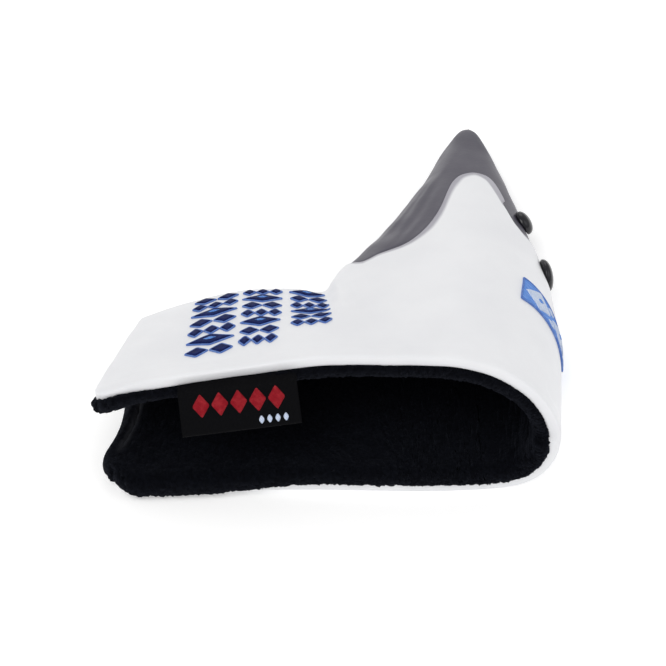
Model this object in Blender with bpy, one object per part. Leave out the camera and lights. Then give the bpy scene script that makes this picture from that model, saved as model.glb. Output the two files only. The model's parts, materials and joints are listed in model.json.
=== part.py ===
"""A head cover for a blade putter: a padded leather sleeve that lies on its back panel.

The sleeve is one wall that starts at the neck, runs along the back, turns over the sole fold and comes
back along the front. Back and front are sewn together along the closed seam, and open at the mouth and
at the neck end. Every layer of that wall, and everything sewn on it, is drawn on one surface,
wall_points(). A place on it is: the side (BACK or FRONT), s, which goes from 0 at the neck end to 1 on
the ridge of the fold, and tau, which goes from 0 at the closed seam to 1 at the mouth. An inset moves
the place into the wall, and a negative inset stands it proud of the leather.

+X goes from the neck end to the fold, +Y from the mouth to the tip of the toe, and +Z up.
"""

from math import pi

import bmesh
import bpy
import numpy as np
from mathutils import Matrix, Vector

BACK, FRONT = -1, 1

# Outline, seen from above, in metres. Each list starts at the tip of the toe.
TIP = (0.0426, 0.1450)
SEAM = (
    TIP,
    (0.0362, 0.1375),
    (0.0270, 0.1175),
    (0.0144, 0.0935),
    (0.0002, 0.0740),
    (-0.0024, 0.0690),
    (-0.0120, 0.0685),
    (-0.0270, 0.0656),
    (-0.0530, 0.0555),
)
SEAM_S = (1.0, 0.93, 0.76, 0.58, 0.44, 0.40, 0.32, 0.20, 0.0)  # s at each point of the seam
RIDGE = (
    TIP,
    (0.0467, 0.1372),
    (0.0516, 0.1190),
    (0.0582, 0.0880),
    (0.0624, 0.0600),
    (0.0628, 0.0380),
    (0.0600, 0.0025),
)
MOUTH = {
    FRONT: (
        (-0.0635, 0.0010),
        (-0.0410, 0.0065),
        (-0.0150, 0.0090),
        (0.0100, 0.0095),
        (0.0260, 0.0088),
        (0.0410, 0.0070),
        (0.0520, 0.0050),
        (0.0600, 0.0025),
    ),
    BACK: ((-0.0635, -0.0015), (-0.0400, -0.0006), (-0.0150, 0.0), (0.0410, 0.0003), (0.0600, 0.0025)),
}
SPLIT_S = 0.40  # where the neck's front wall starts to lift
SPLIT_MOUTH_X = 0.0170
CORNER_RADIUS = {FRONT: 0.0090, BACK: 0.0120}  # between the mouth and the neck end
CORNER_CUT = {FRONT: 1.0, BACK: 1.2}  # over 1, the corner is flatter than an arc
TIP_REACH = 0.040  # inner layers draw back from the tip over this length
TIP_DRAW = 1.9  # and by this much for each unit of inset
TIP_AXIS = (-0.08, -0.997)

# Heights, in metres.
SEAM_HEIGHT = 0.0060  # the closed seam, which is also the radius of the edge along it
FOLD_HEIGHT = 0.0165  # the ridge of the fold, at the mouth
NECK_HEIGHT = 0.0373  # the front panel at the neck's mouth
HEAD_HEIGHT = 0.0422  # and at the head's mouth
HEIGHT_RISES_FROM, HEIGHT_RISES_TO = 0.08, 0.36  # s
CORNER_DROOP = 0.0035
DROOP_WIDTH = 0.016
FULLNESS = 0.75  # under 1, the front panel is arched along its length
FOLD_STARTS = {FRONT: 0.61, BACK: 0.79}  # s where each panel starts to turn into the fold
FOLD_POWER = {FRONT: 1.0, BACK: 0.82}  # under 1, the turn is squarer than an arc
EDGE_TAU = 0.22  # tau where the rounded edge along the seam ends
SLIT = 0.0004  # half the gap between the two sides at the closed seam

# Layers of the wall, as insets in metres.
LEATHER = (0.0, 0.0012)
HEM = (0.0, 0.0034)  # the leather turned over the edge of the foam
HEM_WIDTH = 0.0027
TOE_LEATHER = (0.0006, 0.0017)
FOAM = (0.0023, 0.0036)
FOAM_SETBACK = 0.0032
LINING = (0.0040, 0.0060)
EMBROIDERY = (-0.0011, -0.0004)
RIDGE_PATCH = (-0.0011, -0.0003)
WALL_GAP = 0.0025  # s left open on each side of the split
BROW_GAP = 0.004  # tau left open on each side of the line between white and grey

# Where the grids of the wall have their points: along s, and along tau.
NECK_STEPS = (0.0, 0.03, 0.06, 0.12, 0.19, 0.26, 0.33)
HEAD_STEPS = (0.44, 0.455, 0.48, 0.53, 0.58, 0.61, 0.66, 0.70, 0.745, 0.79, 0.83, 0.87, 0.91, 0.95, 0.98, 1.0)
STEPS = NECK_STEPS + (SPLIT_S - WALL_GAP, SPLIT_S + WALL_GAP) + HEAD_STEPS
EDGE_STEPS = (0.055, 0.11, 0.165, EDGE_TAU)
PANEL_STEPS = (0.36, 0.52, 0.68, 0.84)

# The line between white and grey leather, as (s, tau).
BROW = (
    (0.44, 0.0),
    (0.485, 0.24),
    (0.53, 0.29),
    (0.585, 0.345),
    (0.655, 0.365),
    (0.70, 0.335),
    (0.745, 0.285),
    (0.79, 0.285),
    (0.85, 0.325),
    (0.87, 0.38),
    (0.885, 0.47),
    (0.915, 0.525),
    (1.0, 0.55),
)

# Face: each bead sits on the fold. fold_place() says what turn means.
BEADS = (  # name, turn, tau, radius, height of the dome, and the leather it is fixed to
    ("eye_front", 0.10, 0.478, 0.0038, 0.0024, "toe_leather"),
    ("eye_back", -0.36, 0.478, 0.0038, 0.0024, "toe_leather"),
    ("nose", 0.0, 0.603, 0.0050, 0.0024, "outer_leather"),
)
BEAD_LIFT = 0.0003
POST_RADIUS, POST_HOLE = 0.0007, 0.0010
POST_DEPTH = 0.0033
WASHER = (0.0010, 0.0016, 0.0023, 0.0028)  # hole radius, radius, first and last inset
WASHER_POCKET = 0.0021
BAND_TURN = (0.441, 0.500)  # the ridge patch ends here at its toe edge and its mouth edge
BAND_TAU = (0.793, 0.838)  # both edges where they cross the ridge
BAND_SLOPE = (0.273, 0.203)  # and how fast they leave it for the toe, for each unit of turn

# Embroidered rows on the neck: s of both sides at the seam end and at the mouth end, and the last tau.
ROWS = ((0.113, 0.203, 0.118, 0.188, 0.86), (0.208, 0.292, 0.193, 0.250, 0.83), (0.302, 0.377, 0.274, 0.340, 0.70))
ROW_FIRST_TAU = 0.24

# Magnets in the foam of both neck walls, as (s, tau).
MAGNETS = ((0.075, 0.79), (0.235, 0.83))
MAGNET_RADIUS, MAGNET_HALF_THICKNESS, MAGNET_INSET = 0.0050, 0.00055, 0.0028
MAGNET_POCKET = 0.0054

# Woven label in the mouth seam.
LABEL_ENDS = ((-0.0402, 0.0047, 0.0344), (-0.0095, 0.0070, 0.0375))
LABEL_DROP = 0.0126
LABEL_THICKNESS = 0.0010
LABEL_SLOPE = (0.0, -1.0, -1.0)

# Hinge of the neck's front wall, along the closed seam.
NECK_HINGE = (-0.0270, 0.0629, SEAM_HEIGHT)

WHITE = (0.85, 0.84, 0.82)
GREY = (0.13, 0.125, 0.15)
BLACK = (0.008, 0.009, 0.012)
FOAM_WHITE = (0.72, 0.71, 0.68)
NAVY = (0.015, 0.03, 0.11)
BLUE = (0.12, 0.26, 0.62)
STEEL = (0.60, 0.60, 0.62)


def spline(points, knots, at):
    """A smooth curve through points, read at the knot values in at."""
    p, k = np.asarray(points, float), np.asarray(knots, float)
    step = np.diff(k)
    slope = np.diff(p, axis=0) / step[:, None]
    before, after = step[:-1, None], step[1:, None]
    m = np.vstack([slope[:1], (slope[:-1] * after + slope[1:] * before) / (before + after), slope[-1:]])
    i = np.clip(np.searchsorted(k, at, side="right") - 1, 0, len(step) - 1)
    h, t = step[i][:, None], ((at - k[i]) / step[i])[:, None]
    start = (2 * t**3 - 3 * t**2 + 1) * p[i] + (t**3 - 2 * t**2 + t) * h * m[i]
    end = (3 * t**2 - 2 * t**3) * p[i + 1] + (t**3 - t**2) * h * m[i + 1]
    return start + end


def unit(vectors):
    return vectors / np.maximum(np.linalg.norm(vectors, axis=-1, keepdims=True), 1e-9)


def moved_in(outline, inset, turn):
    """An outline that starts at the tip, moved into the sleeve. turn is 1 if the sleeve is on its left."""
    p = np.array(outline)
    along = unit(np.gradient(p, axis=0))
    inward = turn * np.column_stack([-along[:, 1], along[:, 0]])
    near_tip = np.clip(1 - np.linalg.norm(p - p[0], axis=1) / TIP_REACH, 0, 1)[:, None]
    moved = p + inward * inset + along * TIP_DRAW * inset * near_tip
    moved[0] = p[0] + np.array(TIP_AXIS) * TIP_DRAW * inset
    return moved


def knots_of(points):
    lengths = np.linalg.norm(np.diff(np.asarray(points), axis=0), axis=1)
    return np.concatenate([[0], np.cumsum(lengths)]) / lengths.sum()


RIDGE_KNOTS = knots_of(RIDGE)


def seam_at(s, inset):
    return spline(moved_in(SEAM, inset, 1)[::-1], SEAM_S[::-1], s)


def mouth_at(s, side, inset):
    points = np.array(MOUTH[side])
    x = np.interp(s, [0, SPLIT_S, 1], [points[0, 0], SPLIT_MOUTH_X, points[-1, 0] - inset])
    return np.column_stack([x, spline(points[:, 1:], points[:, 0], x)])


def ridge_at(t, inset):
    points = moved_in(RIDGE, inset, -1)
    points[-1] = mouth_at(np.array([1.0]), FRONT, inset)[0]
    return spline(points, RIDGE_KNOTS, t)


def smoothstep(low, high, value):
    t = np.clip((value - low) / (high - low), 0, 1)
    return t * t * (3 - 2 * t)


def wall_points(side, s, tau, inset=0.0, setback=0.0):
    """Points of the wall. s and tau are arrays. setback keeps tau 1 that far short of the mouth."""
    s, tau = np.broadcast_arrays(np.asarray(s, float), np.asarray(tau, float))
    shape = s.shape
    s, tau = s.ravel(), tau.ravel()
    fold = FOLD_STARTS[side]
    angle = np.clip((s - fold) / (1 - fold), 0, 1) * pi / 2
    g = np.where(s > fold, fold + (1 - fold) * np.sin(angle) ** FOLD_POWER[side], s)
    panel = np.where(s > fold, np.maximum(np.cos(angle), 0) ** FOLD_POWER[side], 1.0)

    seam, mouth = seam_at(g, inset), mouth_at(g, side, inset)
    length = np.linalg.norm(mouth - seam, axis=1)
    away = unit(mouth - seam)
    tangent = unit(seam_at(np.minimum(g + 0.001, 1), inset) - seam_at(np.maximum(g - 0.001, 0), inset))
    slant = np.maximum(abs(tangent[:, 0] * away[:, 1] - tangent[:, 1] * away[:, 0]), 0.4)
    radius = max(SEAM_HEIGHT - inset, 0.0004) / slant
    edge_angle = np.clip(tau / EDGE_TAU, 0, 1) * pi / 2
    flat = radius + (length - radius - setback) * (tau - EDGE_TAU) / (1 - EDGE_TAU)
    distance = np.where(tau < EDGE_TAU, radius * (1 - np.cos(edge_angle)), flat)
    edge = np.sin(edge_angle)
    t = distance / length

    neck_seam, neck_mouth = seam_at(np.zeros_like(g), inset), mouth_at(np.zeros_like(g), side, inset)
    from_neck = np.linalg.norm(mouth - neck_mouth, axis=1) * t + np.linalg.norm(seam - neck_seam, axis=1) * (1 - t)
    from_mouth = (1 - t) * length
    corner = CORNER_RADIUS[side]
    in_corner = (from_neck < corner) & (from_mouth < corner)
    u = np.where(in_corner, 1 - from_neck / corner, 0)
    v = np.where(in_corner, 1 - from_mouth / corner, 0)
    into_u = CORNER_CUT[side] * corner * u * (1 - np.sqrt(1 - v * v / 2))
    into_v = CORNER_CUT[side] * corner * v * (1 - np.sqrt(1 - u * u / 2))
    across = unit(mouth_at(np.minimum(g + 0.001, 1), side, inset) - mouth)

    tip, heel = ridge_at(np.array([0.0]), inset)[0], ridge_at(np.array([1.0]), inset)[0]
    t_ = t[:, None]
    bulge = ridge_at(t, inset) - ((1 - t_) * tip + t_ * heel)
    plan = (1 - t_) * seam + t_ * mouth + (g**4)[:, None] * bulge
    plan = plan + across * into_u[:, None] - away * into_v[:, None]

    middle = SEAM_HEIGHT + (FOLD_HEIGHT - SEAM_HEIGHT) * t
    slit = side * SLIT * (1 - edge) * (s < 1)
    if side == BACK:
        z = middle + slit - (middle - inset) * panel * edge
    else:
        rise = smoothstep(HEIGHT_RISES_FROM, HEIGHT_RISES_TO, g)
        mouth_height = NECK_HEIGHT + (HEAD_HEIGHT - NECK_HEIGHT) * rise
        mouth_height -= CORNER_DROOP * np.clip(1 - from_neck / DROOP_WIDTH, 0, 1) ** 2
        top = 2 * SEAM_HEIGHT + (mouth_height - 2 * SEAM_HEIGHT) * t**FULLNESS
        z = middle + slit + (top - inset - middle) * panel * edge
    return np.column_stack([plan, z]).reshape(*shape, 3)


def fold_place(turn):
    """(side, s) of a place on the fold: turn 0 is the ridge, 1 the front panel's end of it, -1 the back's."""
    side = FRONT if turn >= 0 else BACK
    return side, 1 - abs(turn) * (1 - FOLD_STARTS[side])


def wall_point(side, s, tau, inset=0.0):
    return Vector(wall_points(side, [s], [tau], inset)[0])


def axes_on_wall(side, s, tau):
    """A matrix at a place of the leather's surface whose Z axis points out of the wall."""
    here = wall_point(side, s, tau)
    inner = wall_point(side, s, tau, 0.001)
    toward_mouth = wall_point(side, s, tau + 0.01) - here
    across = wall_point(side, s - 0.01, tau) - here
    out = toward_mouth.cross(across).normalized()
    if out.dot(here - inner) < 0:
        out.negate()
    x_axis = across.normalized()
    y_axis = out.cross(x_axis).normalized()
    x_axis = y_axis.cross(out)
    axes = Matrix((x_axis, y_axis, out)).transposed().to_4x4()
    axes.translation = here
    return axes


def clear_scene():
    for obj in list(bpy.data.objects):
        bpy.data.objects.remove(obj, do_unlink=True)


def make_material(name, colour, roughness, metallic=0.0):
    material = bpy.data.materials.new(name)
    material.use_nodes = True
    shader = material.node_tree.nodes["Principled BSDF"]
    shader.inputs["Base Color"].default_value = (*colour, 1.0)
    shader.inputs["Roughness"].default_value = roughness
    shader.inputs["Metallic"].default_value = metallic
    material.diffuse_color = (*colour, 1.0)
    return material


def make_empty(name, matrix, parent=None):
    empty = bpy.data.objects.new(name, None)
    bpy.context.collection.objects.link(empty)
    empty.matrix_world = matrix
    attach(empty, parent)
    return empty


def attach(obj, parent):
    """Parents obj and keeps it where it is. Every parent is an empty that only moves or turns."""
    if parent is not None:
        bpy.context.view_layer.update()
        placed = obj.matrix_world.copy()
        obj.parent = parent
        obj.matrix_parent_inverse = parent.matrix_world.inverted()
        obj.matrix_world = placed


def make_object(name, mesh_maker, material, parent, matrix=None, sharp=40):
    mesh = bpy.data.meshes.new(name)
    mesh_maker.to_mesh(mesh)
    mesh_maker.free()
    mesh.materials.append(material)
    mesh.shade_smooth()
    mesh.set_sharp_from_angle(angle=sharp * pi / 180)
    obj = bpy.data.objects.new(name, mesh)
    bpy.context.collection.objects.link(obj)
    if matrix is not None:
        obj.matrix_world = matrix
    attach(obj, parent)
    return obj


def shell_mesh(outer, inner):
    """A closed mesh between two grids of points of the same size."""
    maker = bmesh.new()
    grids = [[[maker.verts.new(p) for p in row] for row in grid] for grid in (outer, inner)]
    rows, columns = len(outer), len(outer[0])
    for top, grid in enumerate(grids):
        for i in range(rows - 1):
            for j in range(columns - 1):
                corners = [grid[i][j], grid[i + 1][j], grid[i + 1][j + 1], grid[i][j + 1]]
                maker.faces.new(corners[:: 1 if top else -1])
    rim = [(i, 0) for i in range(rows)] + [(rows - 1, j) for j in range(1, columns)]
    rim += [(i, columns - 1) for i in range(rows - 2, -1, -1)] + [(0, j) for j in range(columns - 2, 0, -1)]
    for (i, j), (k, m) in zip(rim, rim[1:] + rim[:1]):
        maker.faces.new([grids[0][i][j], grids[0][k][m], grids[1][k][m], grids[1][i][j]])
    bmesh.ops.recalc_face_normals(maker, faces=maker.faces)
    return maker


def wall_shell(stations, rows, setback=0.0):
    """A layer of the wall. stations are (side, s), and rows(s) gives (tau, setback, outer, inner) tuples."""
    outer, inner = [], []
    for side, s in stations:
        places = rows(s)
        outer.append([wall_point_at(side, s, tau, proud, back) for tau, back, proud, _ in places])
        inner.append([wall_point_at(side, s, tau, deep, back) for tau, back, _, deep in places])
    return shell_mesh(outer, inner)


def wall_point_at(side, s, tau, inset, setback):
    return wall_points(side, [s], [tau], inset, setback)[0]


def sheet_on_wall(place, insets, columns, rows):
    """A thin sheet on the leather. place(u, v) gives (side, s, tau) for u and v from 0 to 1."""
    steps_u, steps_v = np.linspace(0, 1, columns), np.linspace(0, 1, rows)
    grids = [[[wall_point(*place(u, v), inset) for v in steps_v] for u in steps_u] for inset in insets]
    return shell_mesh(*grids)


def turned_mesh(profile, segments):
    """A closed solid turned about Z. profile is (radius, z) pairs, and one that ends off the axis is a ring."""
    maker = bmesh.new()
    closed = profile[0][0] > 0
    rings = []
    for radius, z in profile:
        if radius == 0:
            rings.append([maker.verts.new((0, 0, z))] * segments)
            continue
        angles = np.arange(segments) * 2 * pi / segments
        rings.append([maker.verts.new((radius * np.cos(a), radius * np.sin(a), z)) for a in angles])
    for below, above in zip(rings, rings[1:] + rings[:1] if closed else rings[1:]):
        for i in range(segments):
            j = (i + 1) % segments
            corners = list(dict.fromkeys([below[i], below[j], above[j], above[i]]))
            maker.faces.new(corners)
    bmesh.ops.recalc_face_normals(maker, faces=maker.faces)
    return maker


def fold_over(first_back, last_front, steps):
    """Stations from the back panel over the ridge to the front panel."""
    back = [(BACK, s) for s in steps if first_back <= s < 1]
    front = [(FRONT, s) for s in reversed(steps) if last_front <= s]
    return back + front


def brow_at(s):
    """tau of the line between white and grey leather."""
    line = np.array(BROW)
    if s <= line[0, 0]:
        return 0.0
    return float(max(spline(line[:, 1:], line[:, 0], np.array([s]))[0, 0], 0))


def hemmed_rows(start):
    """Rows of the white leather from tau start to the turned edge at the mouth."""
    rows = [(start + (1 - start) * step, 0, *LEATHER) for step in (0.0, *EDGE_STEPS, *PANEL_STEPS)]
    turned = [(HEM_WIDTH + 0.0003, LEATHER), (HEM_WIDTH, HEM), (0.0008, HEM), (0.0, (0.0009, 0.0025))]
    return rows + [(1.0, back, *insets) for back, insets in turned]


def white_rows(s):
    brow = brow_at(s)
    return hemmed_rows(brow + BROW_GAP if brow > 0 else 0.0)


def toe_rows(s):
    last = brow_at(s) - BROW_GAP
    taus = [tau * min(1, last / EDGE_TAU) for tau in (0.0, *EDGE_STEPS)]
    return [(tau, 0, *TOE_LEATHER) for tau in (*taus, (taus[-1] + last) / 2 + 0.001, last + 0.002)]


def foam_rows(_):
    return [(tau, FOAM_SETBACK, *FOAM) for tau in (*EDGE_STEPS[1:], *PANEL_STEPS, 1.0)]


def lining_rows(_):
    return [(tau, 0.0004, *LINING) for tau in (*PANEL_STEPS, 1.0)]


def build_walls(body, flap, materials):
    """The layers of the sleeve: one set that wraps round it, and one for the neck's front wall."""
    round_it = fold_over(0.0, SPLIT_S + WALL_GAP, STEPS)
    neck = [(FRONT, s) for s in STEPS if s < SPLIT_S]
    toe = fold_over(0.45, 0.45, STEPS)
    padded = [(side, max(s, 0.045)) for side, s in round_it if s > 0.03 or s == 0.0]
    neck_padded = [(FRONT, max(s, 0.045)) for s in STEPS if s < SPLIT_S and (s > 0.03 or s == 0.0)]
    layers = (
        ("outer_leather", round_it, white_rows, "white_leather", body),
        ("toe_leather", toe, toe_rows, "grey_leather", body),
        ("body_foam", padded, foam_rows, "foam", body),
        ("body_lining", round_it, lining_rows, "plush", body),
        ("neck_front_leather", neck, white_rows, "white_leather", flap),
        ("neck_front_foam", neck_padded, foam_rows, "foam", flap),
        ("neck_front_lining", neck, lining_rows, "plush", flap),
    )
    return {
        name: make_object(name, wall_shell(stations, rows), materials[material], parent)
        for name, stations, rows, material, parent in layers
    }


def cut(obj, cutter):
    modifier = obj.modifiers.new("hole_" + cutter.name, "BOOLEAN")
    modifier.operation = "DIFFERENCE"
    modifier.solver = "EXACT"
    modifier.object = cutter


def make_cutter(name, radius, depths, matrix, parent, materials):
    """A round cutter along the Z axis of matrix, between two insets."""
    first, last = depths
    profile = [(0, -last), (radius, -last), (radius, -first), (0, -first)]
    cutter = make_object(name, turned_mesh(profile, 16), materials["foam"], parent, matrix)
    cutter.hide_render = True
    cutter.display_type = "WIRE"
    return cutter


def bead_profile(radius, dome):
    """A bead with a rounded dome, a flat back just off the leather, and a post that goes into the wall."""
    skirt = BEAD_LIFT + 0.0004
    arc = [(radius * np.sin(a), skirt + dome * np.cos(a)) for a in np.linspace(0, pi / 2, 6)[1:]]
    shaft = [(radius * 0.9, BEAD_LIFT), (POST_RADIUS, BEAD_LIFT), (POST_RADIUS, -POST_DEPTH), (0, -POST_DEPTH)]
    return [(0, skirt + dome), *arc, *shaft]


def build_beads(body, walls, materials):
    """Two eyes and a nose, each with its post through the leather and a washer behind it."""
    for name, turn, tau, radius, dome, leather in BEADS:
        side, s = fold_place(turn)
        place = axes_on_wall(side, min(s, 0.999), tau)
        make_object(name, turned_mesh(bead_profile(radius, dome), 20), materials["bead"], body, place)
        hole, outside, top, bottom = WASHER
        ring = [(hole, -bottom), (outside, -bottom), (outside, -top), (hole, -top)]
        make_object(name + "_washer", turned_mesh(ring, 16), materials["washer"], body, place)
        post_hole = make_cutter(name + "_post_hole", POST_HOLE, (-0.003, 0.0022), place, body, materials)
        cut(walls[leather], post_hole)
        pocket = make_cutter(name + "_pocket", WASHER_POCKET, (0.0012, 0.0046), place, body, materials)
        cut(walls["body_foam"], pocket)


def build_ridge_patch(body, materials):
    """An embroidered patch that crosses the ridge below the nose."""

    def place(u, v):
        turn = (2 * u - 1) * (BAND_TURN[0] + (BAND_TURN[1] - BAND_TURN[0]) * v)
        toe_edge, mouth_edge = (tau - slope * abs(turn) for tau, slope in zip(BAND_TAU, BAND_SLOPE))
        return *fold_place(turn), toe_edge + (mouth_edge - toe_edge) * v

    make_object("ridge_patch", sheet_on_wall(place, RIDGE_PATCH, 17, 4), materials["blue_thread"], body)


def build_embroidery(flap, materials):
    """Three raised bands of embroidery that run from the closed seam towards the mouth."""
    for number, (far_a, far_b, near_a, near_b, last) in enumerate(ROWS, start=1):

        def place(u, v):
            left = far_a + (near_a - far_a) * v
            right = far_b + (near_b - far_b) * v
            return FRONT, left + (right - left) * u, ROW_FIRST_TAU + (last - ROW_FIRST_TAU) * v

        band = sheet_on_wall(place, EMBROIDERY, 4, 9)
        make_object(f"embroidery_row_{number}", band, materials["navy_thread"], flap)


def build_magnets(body, flap, walls, materials):
    """Disc magnets in pockets of the foam, facing each other across the neck."""
    half = MAGNET_HALF_THICKNESS
    disc = [(0, -half), (MAGNET_RADIUS, -half), (MAGNET_RADIUS, half), (0, half)]
    sides = ((FRONT, "front", flap, walls["neck_front_foam"]), (BACK, "back", body, walls["body_foam"]))
    for side, word, parent, foam in sides:
        for number, (s, tau) in enumerate(MAGNETS, start=1):
            place = axes_on_wall(side, s, tau)
            seat = place @ Matrix.Translation((0, 0, -MAGNET_INSET))
            make_object(f"magnet_{word}_{number}", turned_mesh(disc, 20), materials["magnet"], parent, seat)
            name = f"magnet_{word}_{number}_pocket"
            cut(foam, make_cutter(name, MAGNET_POCKET, (0.0012, 0.0044), place, parent, materials))


def build_label(hinge, materials):
    """A folded woven label, sewn in the mouth seam by its top edge."""
    start, end = (Vector(p) for p in LABEL_ENDS)
    down = Vector(LABEL_SLOPE).normalized()
    across = (end - start).normalized()
    face = across.cross(down).normalized() * LABEL_THICKNESS / 2
    grids = [
        [[start + (end - start) * u + down * LABEL_DROP * v + side for v in (0, 0.5, 1)] for u in (0, 0.5, 1)]
        for side in (face, -face)
    ]
    make_object("woven_label", shell_mesh(*grids), materials["label"], hinge)


def label_axes():
    start, end = (Vector(p) for p in LABEL_ENDS)
    return Matrix.Translation((start + end) / 2)


def stand_on_origin(frame):
    """Moves everything so that the origin is under the middle of the cover, at its lowest point."""
    bpy.context.view_layer.update()
    depsgraph = bpy.context.evaluated_depsgraph_get()
    corners = []
    for obj in bpy.data.objects:
        if obj.type == "MESH" and not obj.hide_render:
            mesh = obj.evaluated_get(depsgraph).to_mesh()
            corners += [obj.matrix_world @ v.co for v in mesh.vertices]
    points = np.array(corners)
    low, high = points.min(axis=0), points.max(axis=0)
    frame.location -= Vector(((low[0] + high[0]) / 2, (low[1] + high[1]) / 2, low[2]))
    bpy.context.view_layer.update()


def main():
    clear_scene()
    materials = {
        "white_leather": make_material("white_leather", WHITE, 0.42),
        "grey_leather": make_material("grey_leather", GREY, 0.45),
        "foam": make_material("foam", FOAM_WHITE, 0.9),
        "plush": make_material("plush", BLACK, 0.95),
        "navy_thread": make_material("navy_thread", NAVY, 0.6),
        "blue_thread": make_material("blue_thread", BLUE, 0.6),
        "label": make_material("label", BLACK, 0.7),
        "bead": make_material("bead", BLACK, 0.12),
        "washer": make_material("washer", FOAM_WHITE, 0.4),
        "magnet": make_material("magnet", STEEL, 0.3, 1.0),
    }
    frame = make_empty("cover_frame", Matrix.Identity(4))
    flap = make_empty("neck_hinge", Matrix.Translation(NECK_HINGE), frame)
    hinge = make_empty("label_hinge", label_axes(), flap)
    walls = build_walls(frame, flap, materials)
    build_beads(frame, walls, materials)
    build_ridge_patch(frame, materials)
    build_embroidery(flap, materials)
    build_magnets(frame, flap, walls, materials)
    build_label(hinge, materials)
    stand_on_origin(frame)


main()
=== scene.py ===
"""The looks of a padded leather head cover for a blade putter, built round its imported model.

Every skin of the sleeve is a grid of points on one surface, wall_points(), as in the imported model. A place
on it is: the side (BACK or FRONT), s, from 0 at the neck end to 1 on the ridge of the fold, and tau, from 0
at the closed seam to 1 at the mouth. An inset moves the place into the wall. Lengths are in metres.
"""

import json
from math import pi

import bmesh
import bpy
import numpy as np
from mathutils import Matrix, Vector
from mathutils.geometry import delaunay_2d_cdt


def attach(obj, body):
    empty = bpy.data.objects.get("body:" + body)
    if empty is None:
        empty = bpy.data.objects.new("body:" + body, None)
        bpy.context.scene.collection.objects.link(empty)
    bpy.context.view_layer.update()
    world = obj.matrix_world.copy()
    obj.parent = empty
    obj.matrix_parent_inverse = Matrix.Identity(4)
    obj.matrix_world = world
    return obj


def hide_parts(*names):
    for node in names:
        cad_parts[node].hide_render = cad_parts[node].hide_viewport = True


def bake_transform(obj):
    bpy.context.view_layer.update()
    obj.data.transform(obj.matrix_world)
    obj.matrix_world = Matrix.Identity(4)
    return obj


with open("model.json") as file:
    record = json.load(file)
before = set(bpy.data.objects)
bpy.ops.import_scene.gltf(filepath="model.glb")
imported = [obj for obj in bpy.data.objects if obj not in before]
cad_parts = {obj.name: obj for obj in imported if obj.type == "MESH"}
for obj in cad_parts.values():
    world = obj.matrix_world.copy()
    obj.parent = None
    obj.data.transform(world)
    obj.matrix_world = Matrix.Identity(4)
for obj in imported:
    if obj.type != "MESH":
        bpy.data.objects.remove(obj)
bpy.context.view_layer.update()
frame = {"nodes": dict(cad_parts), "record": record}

MM = 0.001
BACK, FRONT = -1, 1

# The surface, as in the model, before it was moved to stand on its origin.
TIP = (0.0426, 0.1450)
SEAM = (
    TIP,
    (0.0362, 0.1375),
    (0.0270, 0.1175),
    (0.0144, 0.0935),
    (0.0002, 0.0740),
    (-0.0024, 0.0690),
    (-0.0120, 0.0685),
    (-0.0270, 0.0656),
    (-0.0530, 0.0555),
)
# s at each point of the seam
SEAM_S = np.array((1.0, 0.93, 0.76, 0.58, 0.44, 0.40, 0.32, 0.20, 0.0))
RIDGE = (
    TIP,
    (0.0467, 0.1372),
    (0.0516, 0.1190),
    (0.0582, 0.0880),
    (0.0624, 0.0600),
    (0.0628, 0.0380),
    (0.0600, 0.0025),
)
MOUTH = {
    FRONT: (
        (-0.0635, 0.0010),
        (-0.0410, 0.0065),
        (-0.0150, 0.0090),
        (0.0100, 0.0095),
        (0.0260, 0.0088),
        (0.0410, 0.0070),
        (0.0520, 0.0050),
        (0.0600, 0.0025),
    ),
    BACK: ((-0.0635, -0.0015), (-0.0400, -0.0006), (-0.0150, 0.0), (0.0410, 0.0003), (0.0600, 0.0025)),
}
SPLIT_S = 0.40  # between the neck and the head
SPLIT_MOUTH_X = 0.0170
CORNER_RADIUS = {FRONT: 0.0090, BACK: 0.0120}  # between the mouth and the neck end
CORNER_CUT = {FRONT: 1.0, BACK: 1.2}  # over 1, the corner is flatter than an arc
# Layers further in end short of the tip: over what distance, how much for each unit of inset, and which way.
TIP_REACH = 0.040
TIP_DRAW = 1.9
TIP_AXIS = (-0.08, -0.997)
SEAM_HEIGHT = 0.0060  # the closed seam, which is also the radius of the edge along it
FOLD_HEIGHT = 0.0165  # the ridge of the fold, at the mouth
NECK_HEIGHT = 0.0373  # the front panel at the neck's mouth
HEAD_HEIGHT = 0.0422  # and at the head's mouth
HEIGHT_RISES_FROM, HEIGHT_RISES_TO = 0.08, 0.36  # in s
CORNER_DROOP = 0.0035  # how much lower the front panel is at its neck end
DROOP_WIDTH = 0.016
# The back panel's neck end is drawn in a little: by how much, how far from the mouth, and over what width.
WAIST_DEPTH, WAIST_PLACE, WAIST_WIDTH, WAIST_REACH = 0.0025, 0.0200, 0.0135, 0.035
# The neck's front wall sinks beside the head, far from the mouth: how deep, and from where. The sunk part
# ends in a step up to the head, along a slanting line. Then come where the depth is full and where the step
# starts and ends, measured from the line, and the shares of the way to the mouth over which it fades.
SINK_DEPTH, SINK_FROM, SINK_LINE, SINK_SLANT = 0.0034, 0.20, 0.412, 0.12
SINK_FULL, SINK_STEP, SINK_FADES = 0.02, (0.010, -0.016), (0.75, 0.25)
FULLNESS = 0.75  # under 1, the front panel is arched along its length
FOLD_STARTS = {FRONT: 0.61, BACK: 0.79}  # s where each panel starts to turn into the fold
FOLD_POWER = {FRONT: 1.0, BACK: 0.82}  # under 1, the turn is squarer than an arc
EDGE_TAU = 0.22  # where the rounded edge along the seam ends
NECK_S_LENGTH = 0.170  # metres for each unit of s, near the neck end
# The hinge of the neck's front wall shows how far the model was moved.
HINGE_BEFORE_MOVE = (-0.0270, 0.0629, SEAM_HEIGHT)
JOINTS = {joint["name"]: joint for joint in frame["record"]["behaviour"]["joints"]}
MOVE = np.array(JOINTS["neck_front_flex"]["pos_m"]) - np.array(HINGE_BEFORE_MOVE)

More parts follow.
